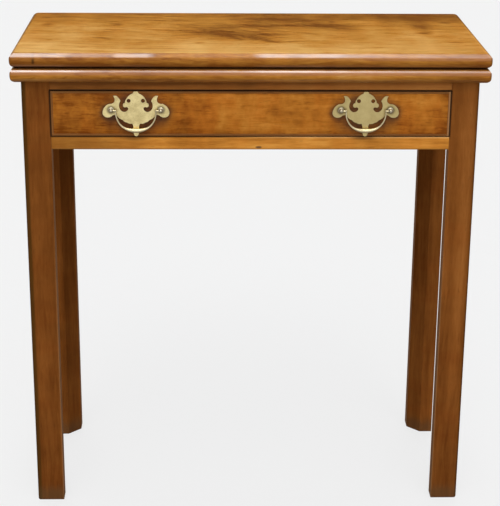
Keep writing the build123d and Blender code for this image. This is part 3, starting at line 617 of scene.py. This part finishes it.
def bottom_rail_marks(shader, shade):
    """Browner at the left end, dark spots under the handles, a painted highlight and painted gap shade
    along the upper edge, and a dark lower edge.
    """
    x, _, z = shader.parts(shader.place)
    shade = shader.calc("ADD", shade, shader.spread(x, *RAIL_FADE))
    chip = shader.oval(CHIP_PLACE, CHIP_REACH, CHIP_SOFTNESS)
    stains = [
        (shader.spread(x, *RAIL_LEFT_X), RAIL_LEFT_TONE),
        # Painted highlight along the upper edge
        (shader.product(shader.spread(z, *RAIL_HIGHLIGHT_Z), shader.spread(x, *RAIL_HIGHLIGHT_X)), RAIL_HIGHLIGHT_TONE),
        # Painted shade of the drawer's gap
        (shader.product(shader.spread(z, *RAIL_GAP_SHADE_Z), shader.spread(x, *RAIL_GAP_SHADE_X)), GRIME_AND_SHADE),
        (shader.spread(z, *LOWER_ARRIS_Z), LOWER_ARRIS_TONE),
        (shader.product(chip, CHIP_STRENGTH), CHIP_TONE),
    ]
    for side in SIDES:
        low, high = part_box(f"bail_{side}")
        place = ((low.x + high.x) / 2 - BAIL_MARK_SHIFT, RAIL_LOW.y, RAIL_HIGH.z)
        mark = shader.oval(place, BAIL_MARK_REACH, BAIL_MARK_SOFTNESS)
        stains.append((shader.product(mark, BAIL_MARK_STRENGTH), BAIL_MARK_TONE))
    return shade, stains


# Tone of the drawer front along X, with 0.5 for no change
DRAWER_LEVELS = (
    (-0.290, 0.17), (-0.230, 0.26), (-0.110, 0.37), (-0.020, 0.66), (0.070, 0.56), (0.150, 0.52),
    (0.240, 0.46), (0.290, 0.46),
)
MOTTLE_WANDER = (30.0, 0.012)
MOTTLE_STRETCH = (1, 1, 0.8)
MOTTLE_NOISE = (70.0, 4.0)
MOTTLE_WEIGHT = 0.9
DASH_STRETCH = (0.14, 1, 1)
DASH_NOISE = (420.0, 2.0, 0.5)
DASH_RANGE = (0.56, 0.70, 0.0, 0.18)

# Darker rim of the drawer front, by distance from its middle
DRAWER_HALF = (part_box("drawer_front")[1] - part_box("drawer_front")[0]) / 2
RIM_X = (DRAWER_HALF.x - 0.012, DRAWER_HALF.x - 0.003, 0.0, 0.3)
RIM_Z = (DRAWER_HALF.z - 0.010, DRAWER_HALF.z - 0.003)
RIM_DEPTH = 0.16

# Grime and painted shadow round each backplate: centre from the plate's middle, half width
# and half height
GRIME_AND_SHADOW_HALOS = (
    (0.0, 0.0, 0.062, 0.040), (0.0, -0.004, 0.036, 0.032), (-0.038, 0.002, 0.018, 0.017),
    (0.038, 0.002, 0.018, 0.017),
)
HALO_THICKNESS = 0.03
HALO_SOFTNESS = 0.45
HALO_NOISE = (60.0, 3.0)
HALO_STRENGTH = (0.3, 0.7, 0.45, 0.85)
HALO_GRIME_AND_SHADOW_TONE = (0.062, 0.026, 0.015)


def drawer_marks(shader, shade):
    """Mottled figure, darker rims and haloes of grime and painted shadow round the handles."""
    x, _, z = shader.parts(shader.place)
    pushed = shader.mapped(shader.shift(shader.place, *MOTTLE_WANDER), MOTTLE_STRETCH)
    mottle = shader.calc("SUBTRACT", shader.noise(pushed, *MOTTLE_NOISE), MIDDLE)
    shade = shader.calc("MULTIPLY_ADD", mottle, MOTTLE_WEIGHT, shade)
    level = shader.calc("SUBTRACT", shader.profile(x, DRAWER_LEVELS), MIDDLE)
    shade = shader.calc("ADD", shade, level)
    dashes = shader.noise(shader.mapped(shader.place, DASH_STRETCH), *DASH_NOISE)
    shade = shader.calc("SUBTRACT", shade, shader.spread(dashes, *DASH_RANGE))
    low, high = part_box("drawer_front")
    middle = (low + high) / 2
    ends = shader.spread(shader.away(x, middle.x), *RIM_X)
    rim = shader.calc("MAXIMUM", ends, shader.spread(shader.away(z, middle.z), *RIM_Z))
    shade = shader.calc("MULTIPLY_ADD", rim, -RIM_DEPTH, shade)

    strength = shader.spread(shader.noise(shader.place, *HALO_NOISE), *HALO_STRENGTH)
    stains = []
    for side in SIDES:
        low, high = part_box(f"backplate_{side}")
        centre = (low + high) / 2
        for offset_x, offset_z, width, height in GRIME_AND_SHADOW_HALOS:
            place = (centre.x + offset_x, low.y, centre.z + offset_z)
            halo = shader.oval(place, (width, HALO_THICKNESS, height), HALO_SOFTNESS)
            # Grime and painted shadow round the plate
            stains.append((shader.product(halo, strength), HALO_GRIME_AND_SHADOW_TONE))
    return shade, stains


# Cock bead: painted shade of the drawer's gap on its outer arris, and the face of its right strip
# with a pale line that is partly wear and partly painted highlight
BEAD_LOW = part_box("cock_bead_bottom")[0]
BEAD_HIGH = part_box("cock_bead_top")[1]
BEAD_ARRIS_START = 0.0012
BEAD_ARRIS_FULL = 0.0004
# Painted shade of the drawer's gap on the outer arris
BEAD_GAP_SHADE = 0.75
RIGHT_BEAD_X = (BEAD_HIGH.x - 0.006, BEAD_HIGH.x - 0.004, -0.15, 0.0)
# Pale line at the right end: partly wear, partly painted highlight
PALE_BEAD_WEAR_AND_HIGHLIGHT_X = (BEAD_HIGH.x - 0.0030, BEAD_HIGH.x - 0.0022, 0.0, 0.6)
PALE_BEAD_WEAR_AND_HIGHLIGHT_TONE = (0.42, 0.22, 0.10)


def bead_marks(shader, shade):
    """A strip with a paler face and a pale line at the right end, partly wear and partly painted
    highlight, and painted shade of the gap on the outer arris of all four.
    """
    x, _, z = shader.parts(shader.place)
    across = shader.calc("ABSOLUTE", x)
    # This grime mask is painted shade of the drawer's gap on the outer arris
    grime = shader.spread(z, BEAD_LOW.z + BEAD_ARRIS_START, BEAD_LOW.z + BEAD_ARRIS_FULL)
    for place, end in ((z, BEAD_HIGH.z), (across, BEAD_HIGH.x)):
        outer = shader.spread(place, end - BEAD_ARRIS_START, end - BEAD_ARRIS_FULL)
        grime = shader.calc("MAXIMUM", grime, outer)
    shade = shader.calc("ADD", shade, shader.spread(x, *RIGHT_BEAD_X))
    pale = shader.spread(x, *PALE_BEAD_WEAR_AND_HIGHLIGHT_X)
    return shade, ((pale, PALE_BEAD_WEAR_AND_HIGHLIGHT_TONE), (shader.product(grime, BEAD_GAP_SHADE), GRIME_AND_SHADE))


def woods(name, axes, tones, **settings):
    """One wood in the grain directions that its pieces need."""
    return {axis: wood(f"{name}_{axis.lower()}", axis, tones, **settings) for axis in axes}


leg_wood = wood("leg_wood_vertical", "Z", LEG_TONES, streak=0.42, mottle=0.25, gloss=0.06, marks=leg_marks)
top_wood = wood("top_wood_grained", "X", TOP_TONES, streak=0.60, mottle=0.30, rough=0.30, gloss=0.08,
                wander=0.05, marks=top_marks, waves=0.00016, broad=0.45)
top_rail_wood = wood("top_rail_wood", "X", TOP_RAIL_TONES, streak=0.4, marks=top_rail_marks)
bottom_rail_wood = wood("bottom_rail_wood", "X", RAIL_TONES, streak=0.65, mottle=0.5,
                        marks=bottom_rail_marks)
side_rail_wood = wood("side_rail_wood", "Y", LEG_TONES, streak=0.5, mottle=0.35)
drawer_wood = wood("drawer_wood_figured", "X", DRAWER_TONES, streak=0.35, mottle=0.4, rough=0.30,
                   blush=0.6, marks=drawer_marks)
bead_wood = woods("bead_wood", "XZ", BEAD_TONES, streak=0.3, mottle=0.2, rough=0.30, dirt=0.2,
                  marks=bead_marks)
oak = woods("plain_oak", "XYZ", OAK_TONES, streak=0.6, mottle=0.3, pores=1.0, rough=0.62, dirt=0.7)
pine = woods("plain_pine", "XY", PINE_TONES, streak=0.7, mottle=0.2, pores=0.2, rough=0.66, dirt=0.6)


# Metals
CLOUD_NOISE = (70.0, 5.0, 0.6)
DENT_NOISE = (160.0, 2.0, 0.5)
SPECK_NOISE = (620.0, 3.0, 0.6)
DENT_DEPTH = 0.00012
SPECK_HEIGHT = 0.00001
CLOUD_RANGE = (0.35, 0.72, 0.0, 0.55)
SPECK_RANGE = (0.52, 0.72)
METAL_CORNER_REACH = 0.004
METAL_CORNER_RANGE = (0.30, 0.85)
METAL_CORNER_SHARE = 0.25
WORN_EDGE_REACH = 0.0012
WORN_EDGE_RANGE = (0.72, 0.35)
CLOUD_ROUGHNESS = 0.3


def metal(name, tone, tarnish, rough, grime=0.6, speckle=0.3, worn=(0.8, 0.7, 0.45), wear=0.5,
          marks=None):
    """Aged metal with clouded tarnish, speckles, grime in the corners and bright worn edges."""
    shader = Shader(name)
    clouds = shader.noise(shader.place, *CLOUD_NOISE)
    specks = shader.noise(shader.place, *SPECK_NOISE)
    amount = shader.spread(clouds, *CLOUD_RANGE)
    amount = shader.calc("MULTIPLY_ADD", shader.spread(specks, *SPECK_RANGE), speckle, amount, clamp=True)
    colour = shader.blend(amount, tone, tarnish)
    corner = shader.spread(shader.crevice(METAL_CORNER_REACH), *METAL_CORNER_RANGE, 0.0, grime)
    colour = shader.blend(corner, colour, darkened(tarnish, METAL_CORNER_SHARE))
    edge = shader.add("ShaderNodeAmbientOcclusion", samples=AO_SAMPLES, inside=True, only_local=True)
    edge.inputs["Distance"].default_value = WORN_EDGE_REACH
    bare = shader.spread(edge.outputs["AO"], *WORN_EDGE_RANGE, 0.0, wear)
    colour = shader.blend(bare, colour, worn)
    if marks:
        colour = marks(shader, colour)
    shader.set("Base Color", colour)
    shader.set("Metallic", 1.0)
    roughness = shader.calc("MULTIPLY_ADD", clouds, CLOUD_ROUGHNESS, rough - CLOUD_ROUGHNESS / 2)
    shader.set("Roughness", roughness)
    height = shader.product(shader.noise(shader.place, *DENT_NOISE), DENT_DEPTH)
    shader.relief(shader.calc("MULTIPLY_ADD", specks, SPECK_HEIGHT, height))
    return shader.material


# Backplates: painted shade on the one on the right, and the ring round each post
RIGHT_PLATE_SHADE_X = (-0.01, 0.01, 0.0, 0.70)
RIGHT_PLATE_SHADE_TONE = (0.44, 0.335, 0.135)
COLLAR = 0.0090
COLLAR_THICKNESS = 0.1
COLLAR_SOFTNESS = 0.55
COLLAR_STRENGTH = 0.85
COLLAR_TONE = (0.09, 0.068, 0.036)


def plate_marks(shader, colour):
    """A dark ring round each post, and painted shade darkening the plate on the right."""
    x = shader.parts(shader.place)[0]
    # Painted shade on the right plate
    colour = shader.blend(shader.spread(x, *RIGHT_PLATE_SHADE_X), colour, RIGHT_PLATE_SHADE_TONE)
    for side in SIDES:
        for place in ("outer", "inner"):
            low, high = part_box(f"handle_post_{side}_{place}")
            centre = ((low.x + high.x) / 2, high.y, (low.z + high.z) / 2)
            ring = shader.oval(centre, (COLLAR, COLLAR_THICKNESS, COLLAR), COLLAR_SOFTNESS)
            colour = shader.blend(shader.product(ring, COLLAR_STRENGTH), colour, COLLAR_TONE)
    return colour


brass = metal("brass_aged", (0.86, 0.70, 0.32), (0.52, 0.39, 0.15), rough=0.42)
plate_brass = metal("plate_brass_aged", (0.84, 0.69, 0.34), (0.45, 0.34, 0.14), rough=0.42,
                    speckle=0.5, marks=plate_marks)
post_brass = metal("post_brass_worn", (0.58, 0.51, 0.36), (0.34, 0.29, 0.18), rough=0.5,
                   worn=(0.66, 0.60, 0.46))
# Paler brass on the bails: wear, and painted light standing in for light on their undersides
bail_brass = metal("bail_brass_worn_and_painted_light", (0.80, 0.69, 0.43), (0.52, 0.43, 0.24), rough=0.48,
                   worn=(0.80, 0.74, 0.55))
hinge_brass = metal("hinge_brass_dull", (0.52, 0.38, 0.16), (0.20, 0.14, 0.06), rough=0.5, grime=0.8)
iron = metal("iron_dark", (0.16, 0.145, 0.13), (0.07, 0.04, 0.025), rough=0.6, speckle=0.5,
             worn=(0.3, 0.28, 0.26), wear=0.3)

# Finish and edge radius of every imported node
EASED = 0.0006
WORN = 0.0010
LEAF_ARRIS = 0.0012
CRISP = 0.0004
HARDWARE = 0.0003
SMALL_HARDWARE = 0.0002
finishes = {
    "folding_leaf": (top_wood, LEAF_ARRIS),
    "fixed_leaf": (top_wood, LEAF_ARRIS),
    "front_leg_left": (leg_wood, WORN),
    "front_leg_right": (leg_wood, WORN),
    "back_leg_fixed": (leg_wood, WORN),
    "swing_leg": (leg_wood, WORN),
    "top_front_rail": (top_rail_wood, EASED),
    "bottom_front_rail": (bottom_rail_wood, EASED),
    "side_rail_left": (side_rail_wood, EASED),
    "side_rail_right": (side_rail_wood, EASED),
    "drawer_front": (drawer_wood, 0),
    "cock_bead_top": (bead_wood["X"], 0),
    "cock_bead_bottom": (bead_wood["X"], 0),
    "cock_bead_left": (bead_wood["Z"], 0),
    "cock_bead_right": (bead_wood["Z"], 0),
    "inner_back_rail": (oak["X"], EASED),
    "fly_rail_fixed": (oak["X"], EASED),
    "fly_rail_gate": (oak["X"], EASED),
    "drawer_back": (oak["X"], CRISP),
    "drawer_bottom": (pine["X"], CRISP),
    "knuckle_pin": (iron, HARDWARE),
    "runner_nails": (iron, SMALL_HARDWARE),
    "drawer_bottom_nails": (iron, SMALL_HARDWARE),
    "leaf_screws": (iron, SMALL_HARDWARE),
    "fly_rail_screws": (iron, SMALL_HARDWARE),
    "lower_hinge_screws": (hinge_brass, SMALL_HARDWARE),
    "upper_hinge_screws": (hinge_brass, SMALL_HARDWARE),
    "handle_nuts": (brass, CRISP),
}
for side in SIDES:
    finishes[f"drawer_runner_{side}"] = (oak["Y"], EASED)
    finishes[f"drawer_guide_{side}"] = (oak["Y"], EASED)
    finishes[f"drawer_stop_{side}"] = (oak["X"], EASED)
    finishes[f"drawer_side_{side}"] = (oak["Y"], CRISP)
    finishes[f"kicker_{side}"] = (pine["Y"], EASED)
    finishes[f"backplate_{side}"] = (plate_brass, CRISP)
    finishes[f"bail_{side}"] = (bail_brass, 0)
    finishes[f"handle_post_{side}_outer"] = (post_brass, HARDWARE)
    finishes[f"handle_post_{side}_inner"] = (post_brass, HARDWARE)
    finishes[f"hinge_pin_{side}"] = (hinge_brass, SMALL_HARDWARE)
    for level in ("lower", "upper"):
        finishes[f"{level}_hinge_plate_{side}"] = (hinge_brass, HARDWARE)
for place in ("left", "middle", "right"):
    finishes[f"glue_block_{place}"] = (pine["X"], EASED)


def add_object(name, mesh):
    """A new object of a finished bmesh, in the scene."""
    data = bpy.data.meshes.new(name)
    mesh.to_mesh(data)
    mesh.free()
    made = bpy.data.objects.new(name, data)
    bpy.context.scene.collection.objects.link(made)
    return made


# Slots in the screw heads
WELD = 2e-6
SORTING_DIGITS = 5
SLOT_OVERRUN = 1.2
HINGE_SLOT = (0.0007, 0.0008)
FRAME_SLOT = (0.0011, 0.0012)


def solids_of(node):
    """Lowest and highest corner of each separate solid in a node, in a steady order."""
    mesh = bmesh.new()
    mesh.from_mesh(node.data)
    bmesh.ops.remove_doubles(mesh, verts=mesh.verts, dist=WELD)
    waiting, boxes = set(mesh.verts), []
    while waiting:
        group, edge_of_group = set(), [waiting.pop()]
        while edge_of_group:
            vertex = edge_of_group.pop()
            group.add(vertex)
            near = {edge.other_vert(vertex) for edge in vertex.link_edges} & waiting
            waiting -= near
            edge_of_group.extend(near)
        points = [vertex.co.copy() for vertex in group]
        low = Vector([min(point[axis] for point in points) for axis in range(3)])
        high = Vector([max(point[axis] for point in points) for axis in range(3)])
        boxes.append((low, high))
    mesh.free()
    return sorted(boxes, key=lambda box: tuple(round(value, SORTING_DIGITS) for value in box[0]))


def screw_slots(name, outward, body, slot):
    """Cut a slot of a width and depth across each screw head of a node, turned as a hand left it."""
    width, depth = slot
    turns = random.Random(name)
    cutter = bmesh.new()
    axis = Vector(outward)
    for low, high in solids_of(nodes[name]):
        middle = (low + high) / 2
        reach = (high - low) / 2
        head = middle + axis * abs(reach.dot(axis))
        across = max(abs(value) for value in (reach - axis * reach.dot(axis)))
        spin = Matrix.Rotation(turns.uniform(0, math.pi), 4, axis)
        upright = axis.to_track_quat("Z", "Y").to_matrix().to_4x4()
        size = Matrix.Diagonal((2 * SLOT_OVERRUN * across, width, 2 * depth, 1))
        placed = Matrix.Translation(head) @ spin @ upright @ size
        bmesh.ops.create_cube(cutter, size=1.0, matrix=placed)
    tool = add_object(name + "_slots", cutter)
    tool.hide_render = True
    tool.hide_viewport = True
    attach(tool, body)
    return tool


slots = {
    "lower_hinge_screws": screw_slots("lower_hinge_screws", (0, 1, 0), "frame", HINGE_SLOT),
    "upper_hinge_screws": screw_slots("upper_hinge_screws", (0, 1, 0), "top_leaf", HINGE_SLOT),
    "fly_rail_screws": screw_slots("fly_rail_screws", (0, 1, 0), "frame", FRAME_SLOT),
    "leaf_screws": screw_slots("leaf_screws", (0, 0, -1), "frame", FRAME_SLOT),
}

BEVEL_SEGMENTS = 3
BEVEL_ANGLE = 35
NORMAL_WEIGHT = 100


def finish_node(name, material, edge_radius):
    """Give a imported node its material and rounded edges, leaving its own mesh alone."""
    node = nodes[name]
    for place in node.material_slots:
        place.material = material
    weld = node.modifiers.new("weld", "WELD")
    weld.merge_threshold = WELD
    if name in slots:
        cut = node.modifiers.new("slots", "BOOLEAN")
        cut.object = slots[name]
        cut.operation = "DIFFERENCE"
        cut.solver = "EXACT"
    if edge_radius:
        bevel = node.modifiers.new("edges", "BEVEL")
        bevel.width = edge_radius
        bevel.segments = BEVEL_SEGMENTS
        bevel.limit_method = "ANGLE"
        bevel.angle_limit = math.radians(BEVEL_ANGLE)
        bevel.use_clamp_overlap = True
        bevel.miter_outer = "MITER_ARC"
    normals = node.modifiers.new("normals", "WEIGHTED_NORMAL")
    normals.weight = NORMAL_WEIGHT


for name, (material, edge_radius) in finishes.items():
    finish_node(name, material, edge_radius)


# Floor and wall
STAGE_SEGMENTS = 96
FLOOR_RADIUS = 30.0
FLOOR_NOISE = (40.0, 4.0)
FLOOR_TONE = (0.120, 0.120, 0.120)
FLOOR_ROUGHNESS = 0.9
FLOOR_GLOW = 0.740
WALL_RADIUS = 29.0
WALL_HEIGHT = 25.0
WALL_NOISE = (0.5, 2.0)
WALL_TONE = (1.0, 1.0, 1.0)
WALL_GLOW = 0.885
PAPER_SHARE = 0.99
PAPER_STOPS = (0.3, 0.7)


def paper(shader, noise, tone):
    """A tone that varies very slightly, as paper does."""
    stops = tuple(zip(PAPER_STOPS, (darkened(tone, PAPER_SHARE), tone)))
    return shader.ramp(shader.noise(shader.place, *noise), stops)


def dress_stage(piece, shader, glow):
    """Give a piece of the stage its glow and keep it out of reflections and bounced light."""
    shader.set("Specular IOR Level", 0.0)
    shader.set("Emission Strength", glow)
    piece.data.materials.append(shader.material)
    piece.visible_diffuse = False
    piece.visible_glossy = False


def make_floor():
    """A wide pale floor that glows by itself and still takes the table's shadow."""
    mesh = bmesh.new()
    bmesh.ops.create_circle(mesh, cap_ends=True, segments=STAGE_SEGMENTS, radius=FLOOR_RADIUS)
    shader = Shader("floor_paper")
    shader.set("Base Color", paper(shader, FLOOR_NOISE, FLOOR_TONE))
    shader.set("Roughness", FLOOR_ROUGHNESS)
    shader.set("Emission Color", (1, 1, 1, 1))
    dress_stage(add_object("floor", mesh), shader, FLOOR_GLOW)


def make_wall():
    """A plain pale wall far round the floor, that casts no shadow."""
    mesh = bmesh.new()
    lower = bmesh.ops.create_circle(mesh, segments=STAGE_SEGMENTS, radius=WALL_RADIUS)["verts"]
    rim = [edge for edge in mesh.edges if edge.verts[0] in lower]
    for raised in bmesh.ops.extrude_edge_only(mesh, edges=rim)["geom"]:
        if isinstance(raised, bmesh.types.BMVert):
            raised.co.z += WALL_HEIGHT
    shader = Shader("wall_paper")
    shader.set("Base Color", (0, 0, 0, 1))
    shader.set("Emission Color", paper(shader, WALL_NOISE, WALL_TONE))
    wall = add_object("wall", mesh)
    wall.visible_shadow = False
    dress_stage(wall, shader, WALL_GLOW)


# Light of the room, in front and behind, and the share of it that is left low down
ROOM_TONE = (0.98, 0.99, 1.0)
FRONT_LIGHT = 0.98
BACK_LIGHT = 0.20
FRONT_Y = (0.1, -0.75)
FRONT_X = (0.95, 0.5)
LOW_ELEVATION = (-15, -50, 1.0, 0.4)

# A dark band at the back, by its elevation and how far it reaches from there
BAND_ELEVATION = 8
BAND_REACH = (24, 12)
BAND_Y = (0.1, 0.5)
BAND_DEPTH = 0.9

# A warm floor behind the table
WARM_TONE = (1.0, 0.60, 0.36)
WARM_LIGHT = 0.30
WARM_Y = (0.3, 0.8)
WARM_TOP = (0, -8)
WARM_BOTTOM = (-60, -35)

# One long softbox overhead, by its lean towards the front and the back and its half width
SOFTBOX_FRONT = -50
SOFTBOX_BACK = 42
SOFTBOX_FADE = 6
SOFTBOX_HALF = 0.24
SOFTBOX_SIDE_FADE = 0.05
SOFTBOX_LIGHT = 4.4


def make_world():
    """A room, bright in front and dark behind over a warm floor, with one long softbox overhead."""
    world = bpy.data.worlds.new("studio")
    bpy.context.scene.world = world
    sky = NodeTree(world)
    x, y, z = sky.parts(sky.add("ShaderNodeTexCoord").outputs["Generated"])
    sideways = sky.calc("ABSOLUTE", x)
    elevation = sky.calc("DEGREES", sky.calc("ARCSINE", z))
    lean = sky.calc("DEGREES", sky.calc("ARCTAN2", y, z))

    front = sky.product(sky.spread(y, *FRONT_Y), sky.spread(sideways, *FRONT_X))
    level = sky.calc("MULTIPLY_ADD", front, FRONT_LIGHT - BACK_LIGHT, BACK_LIGHT)
    level = sky.product(level, sky.spread(elevation, *LOW_ELEVATION))
    band = sky.spread(sky.away(elevation, BAND_ELEVATION), *BAND_REACH)
    band = sky.product(band, sky.spread(y, *BAND_Y), BAND_DEPTH)
    level = sky.product(level, sky.calc("SUBTRACT", 1.0, band))

    warm = sky.product(sky.spread(elevation, *WARM_TOP), sky.spread(elevation, *WARM_BOTTOM))
    warm = sky.product(sky.spread(y, *WARM_Y), warm)
    level = sky.calc("MULTIPLY_ADD", warm, WARM_LIGHT, level)

    softbox = sky.product(
        sky.spread(lean, SOFTBOX_FRONT - SOFTBOX_FADE, SOFTBOX_FRONT + SOFTBOX_FADE),
        sky.spread(lean, SOFTBOX_BACK + SOFTBOX_FADE, SOFTBOX_BACK - SOFTBOX_FADE),
        sky.spread(sideways, SOFTBOX_HALF + SOFTBOX_SIDE_FADE, SOFTBOX_HALF - SOFTBOX_SIDE_FADE),
    )
    level = sky.calc("MULTIPLY_ADD", softbox, SOFTBOX_LIGHT, level)
    background = sky.tree.nodes["Background"]
    sky.put(background.inputs["Strength"], level)
    sky.put(background.inputs["Color"], sky.blend(warm, ROOM_TONE, WARM_TONE))


# Camera at the photograph's place, with angles in radians and lens and sensor in millimetres
CAMERA_PLACE = Vector((-0.05925, -2.2986, 1.17531))
CAMERA_TILT = 0.339096
CAMERA_YAW = 0.027539
CAMERA_ROLL = 0.008161
CAMERA_LENS = 108.523
SENSOR = 36.0
CLIP_START = 0.05
CLIP_END = 100.0


def make_camera():
    """A level camera turned by its yaw, then tilted down and rolled a little."""
    forward = Vector((
        math.sin(CAMERA_YAW) * math.cos(CAMERA_TILT),
        math.cos(CAMERA_YAW) * math.cos(CAMERA_TILT),
        -math.sin(CAMERA_TILT),
    ))
    level = Vector((math.cos(CAMERA_YAW), -math.sin(CAMERA_YAW), 0))
    above = level.cross(forward)
    right = math.cos(CAMERA_ROLL) * level + math.sin(CAMERA_ROLL) * above
    up = -math.sin(CAMERA_ROLL) * level + math.cos(CAMERA_ROLL) * above
    turned = Matrix((right, up, -forward)).transposed().to_4x4()
    lens = bpy.data.cameras.new("camera")
    lens.lens = CAMERA_LENS
    lens.sensor_width = SENSOR
    lens.clip_start = CLIP_START
    lens.clip_end = CLIP_END
    camera = bpy.data.objects.new("camera", lens)
    camera.matrix_world = Matrix.Translation(CAMERA_PLACE) @ turned
    bpy.context.scene.collection.objects.link(camera)
    bpy.context.scene.camera = camera


make_floor()
make_wall()
make_world()
make_camera()
bpy.context.scene.view_settings.view_transform = "Standard"
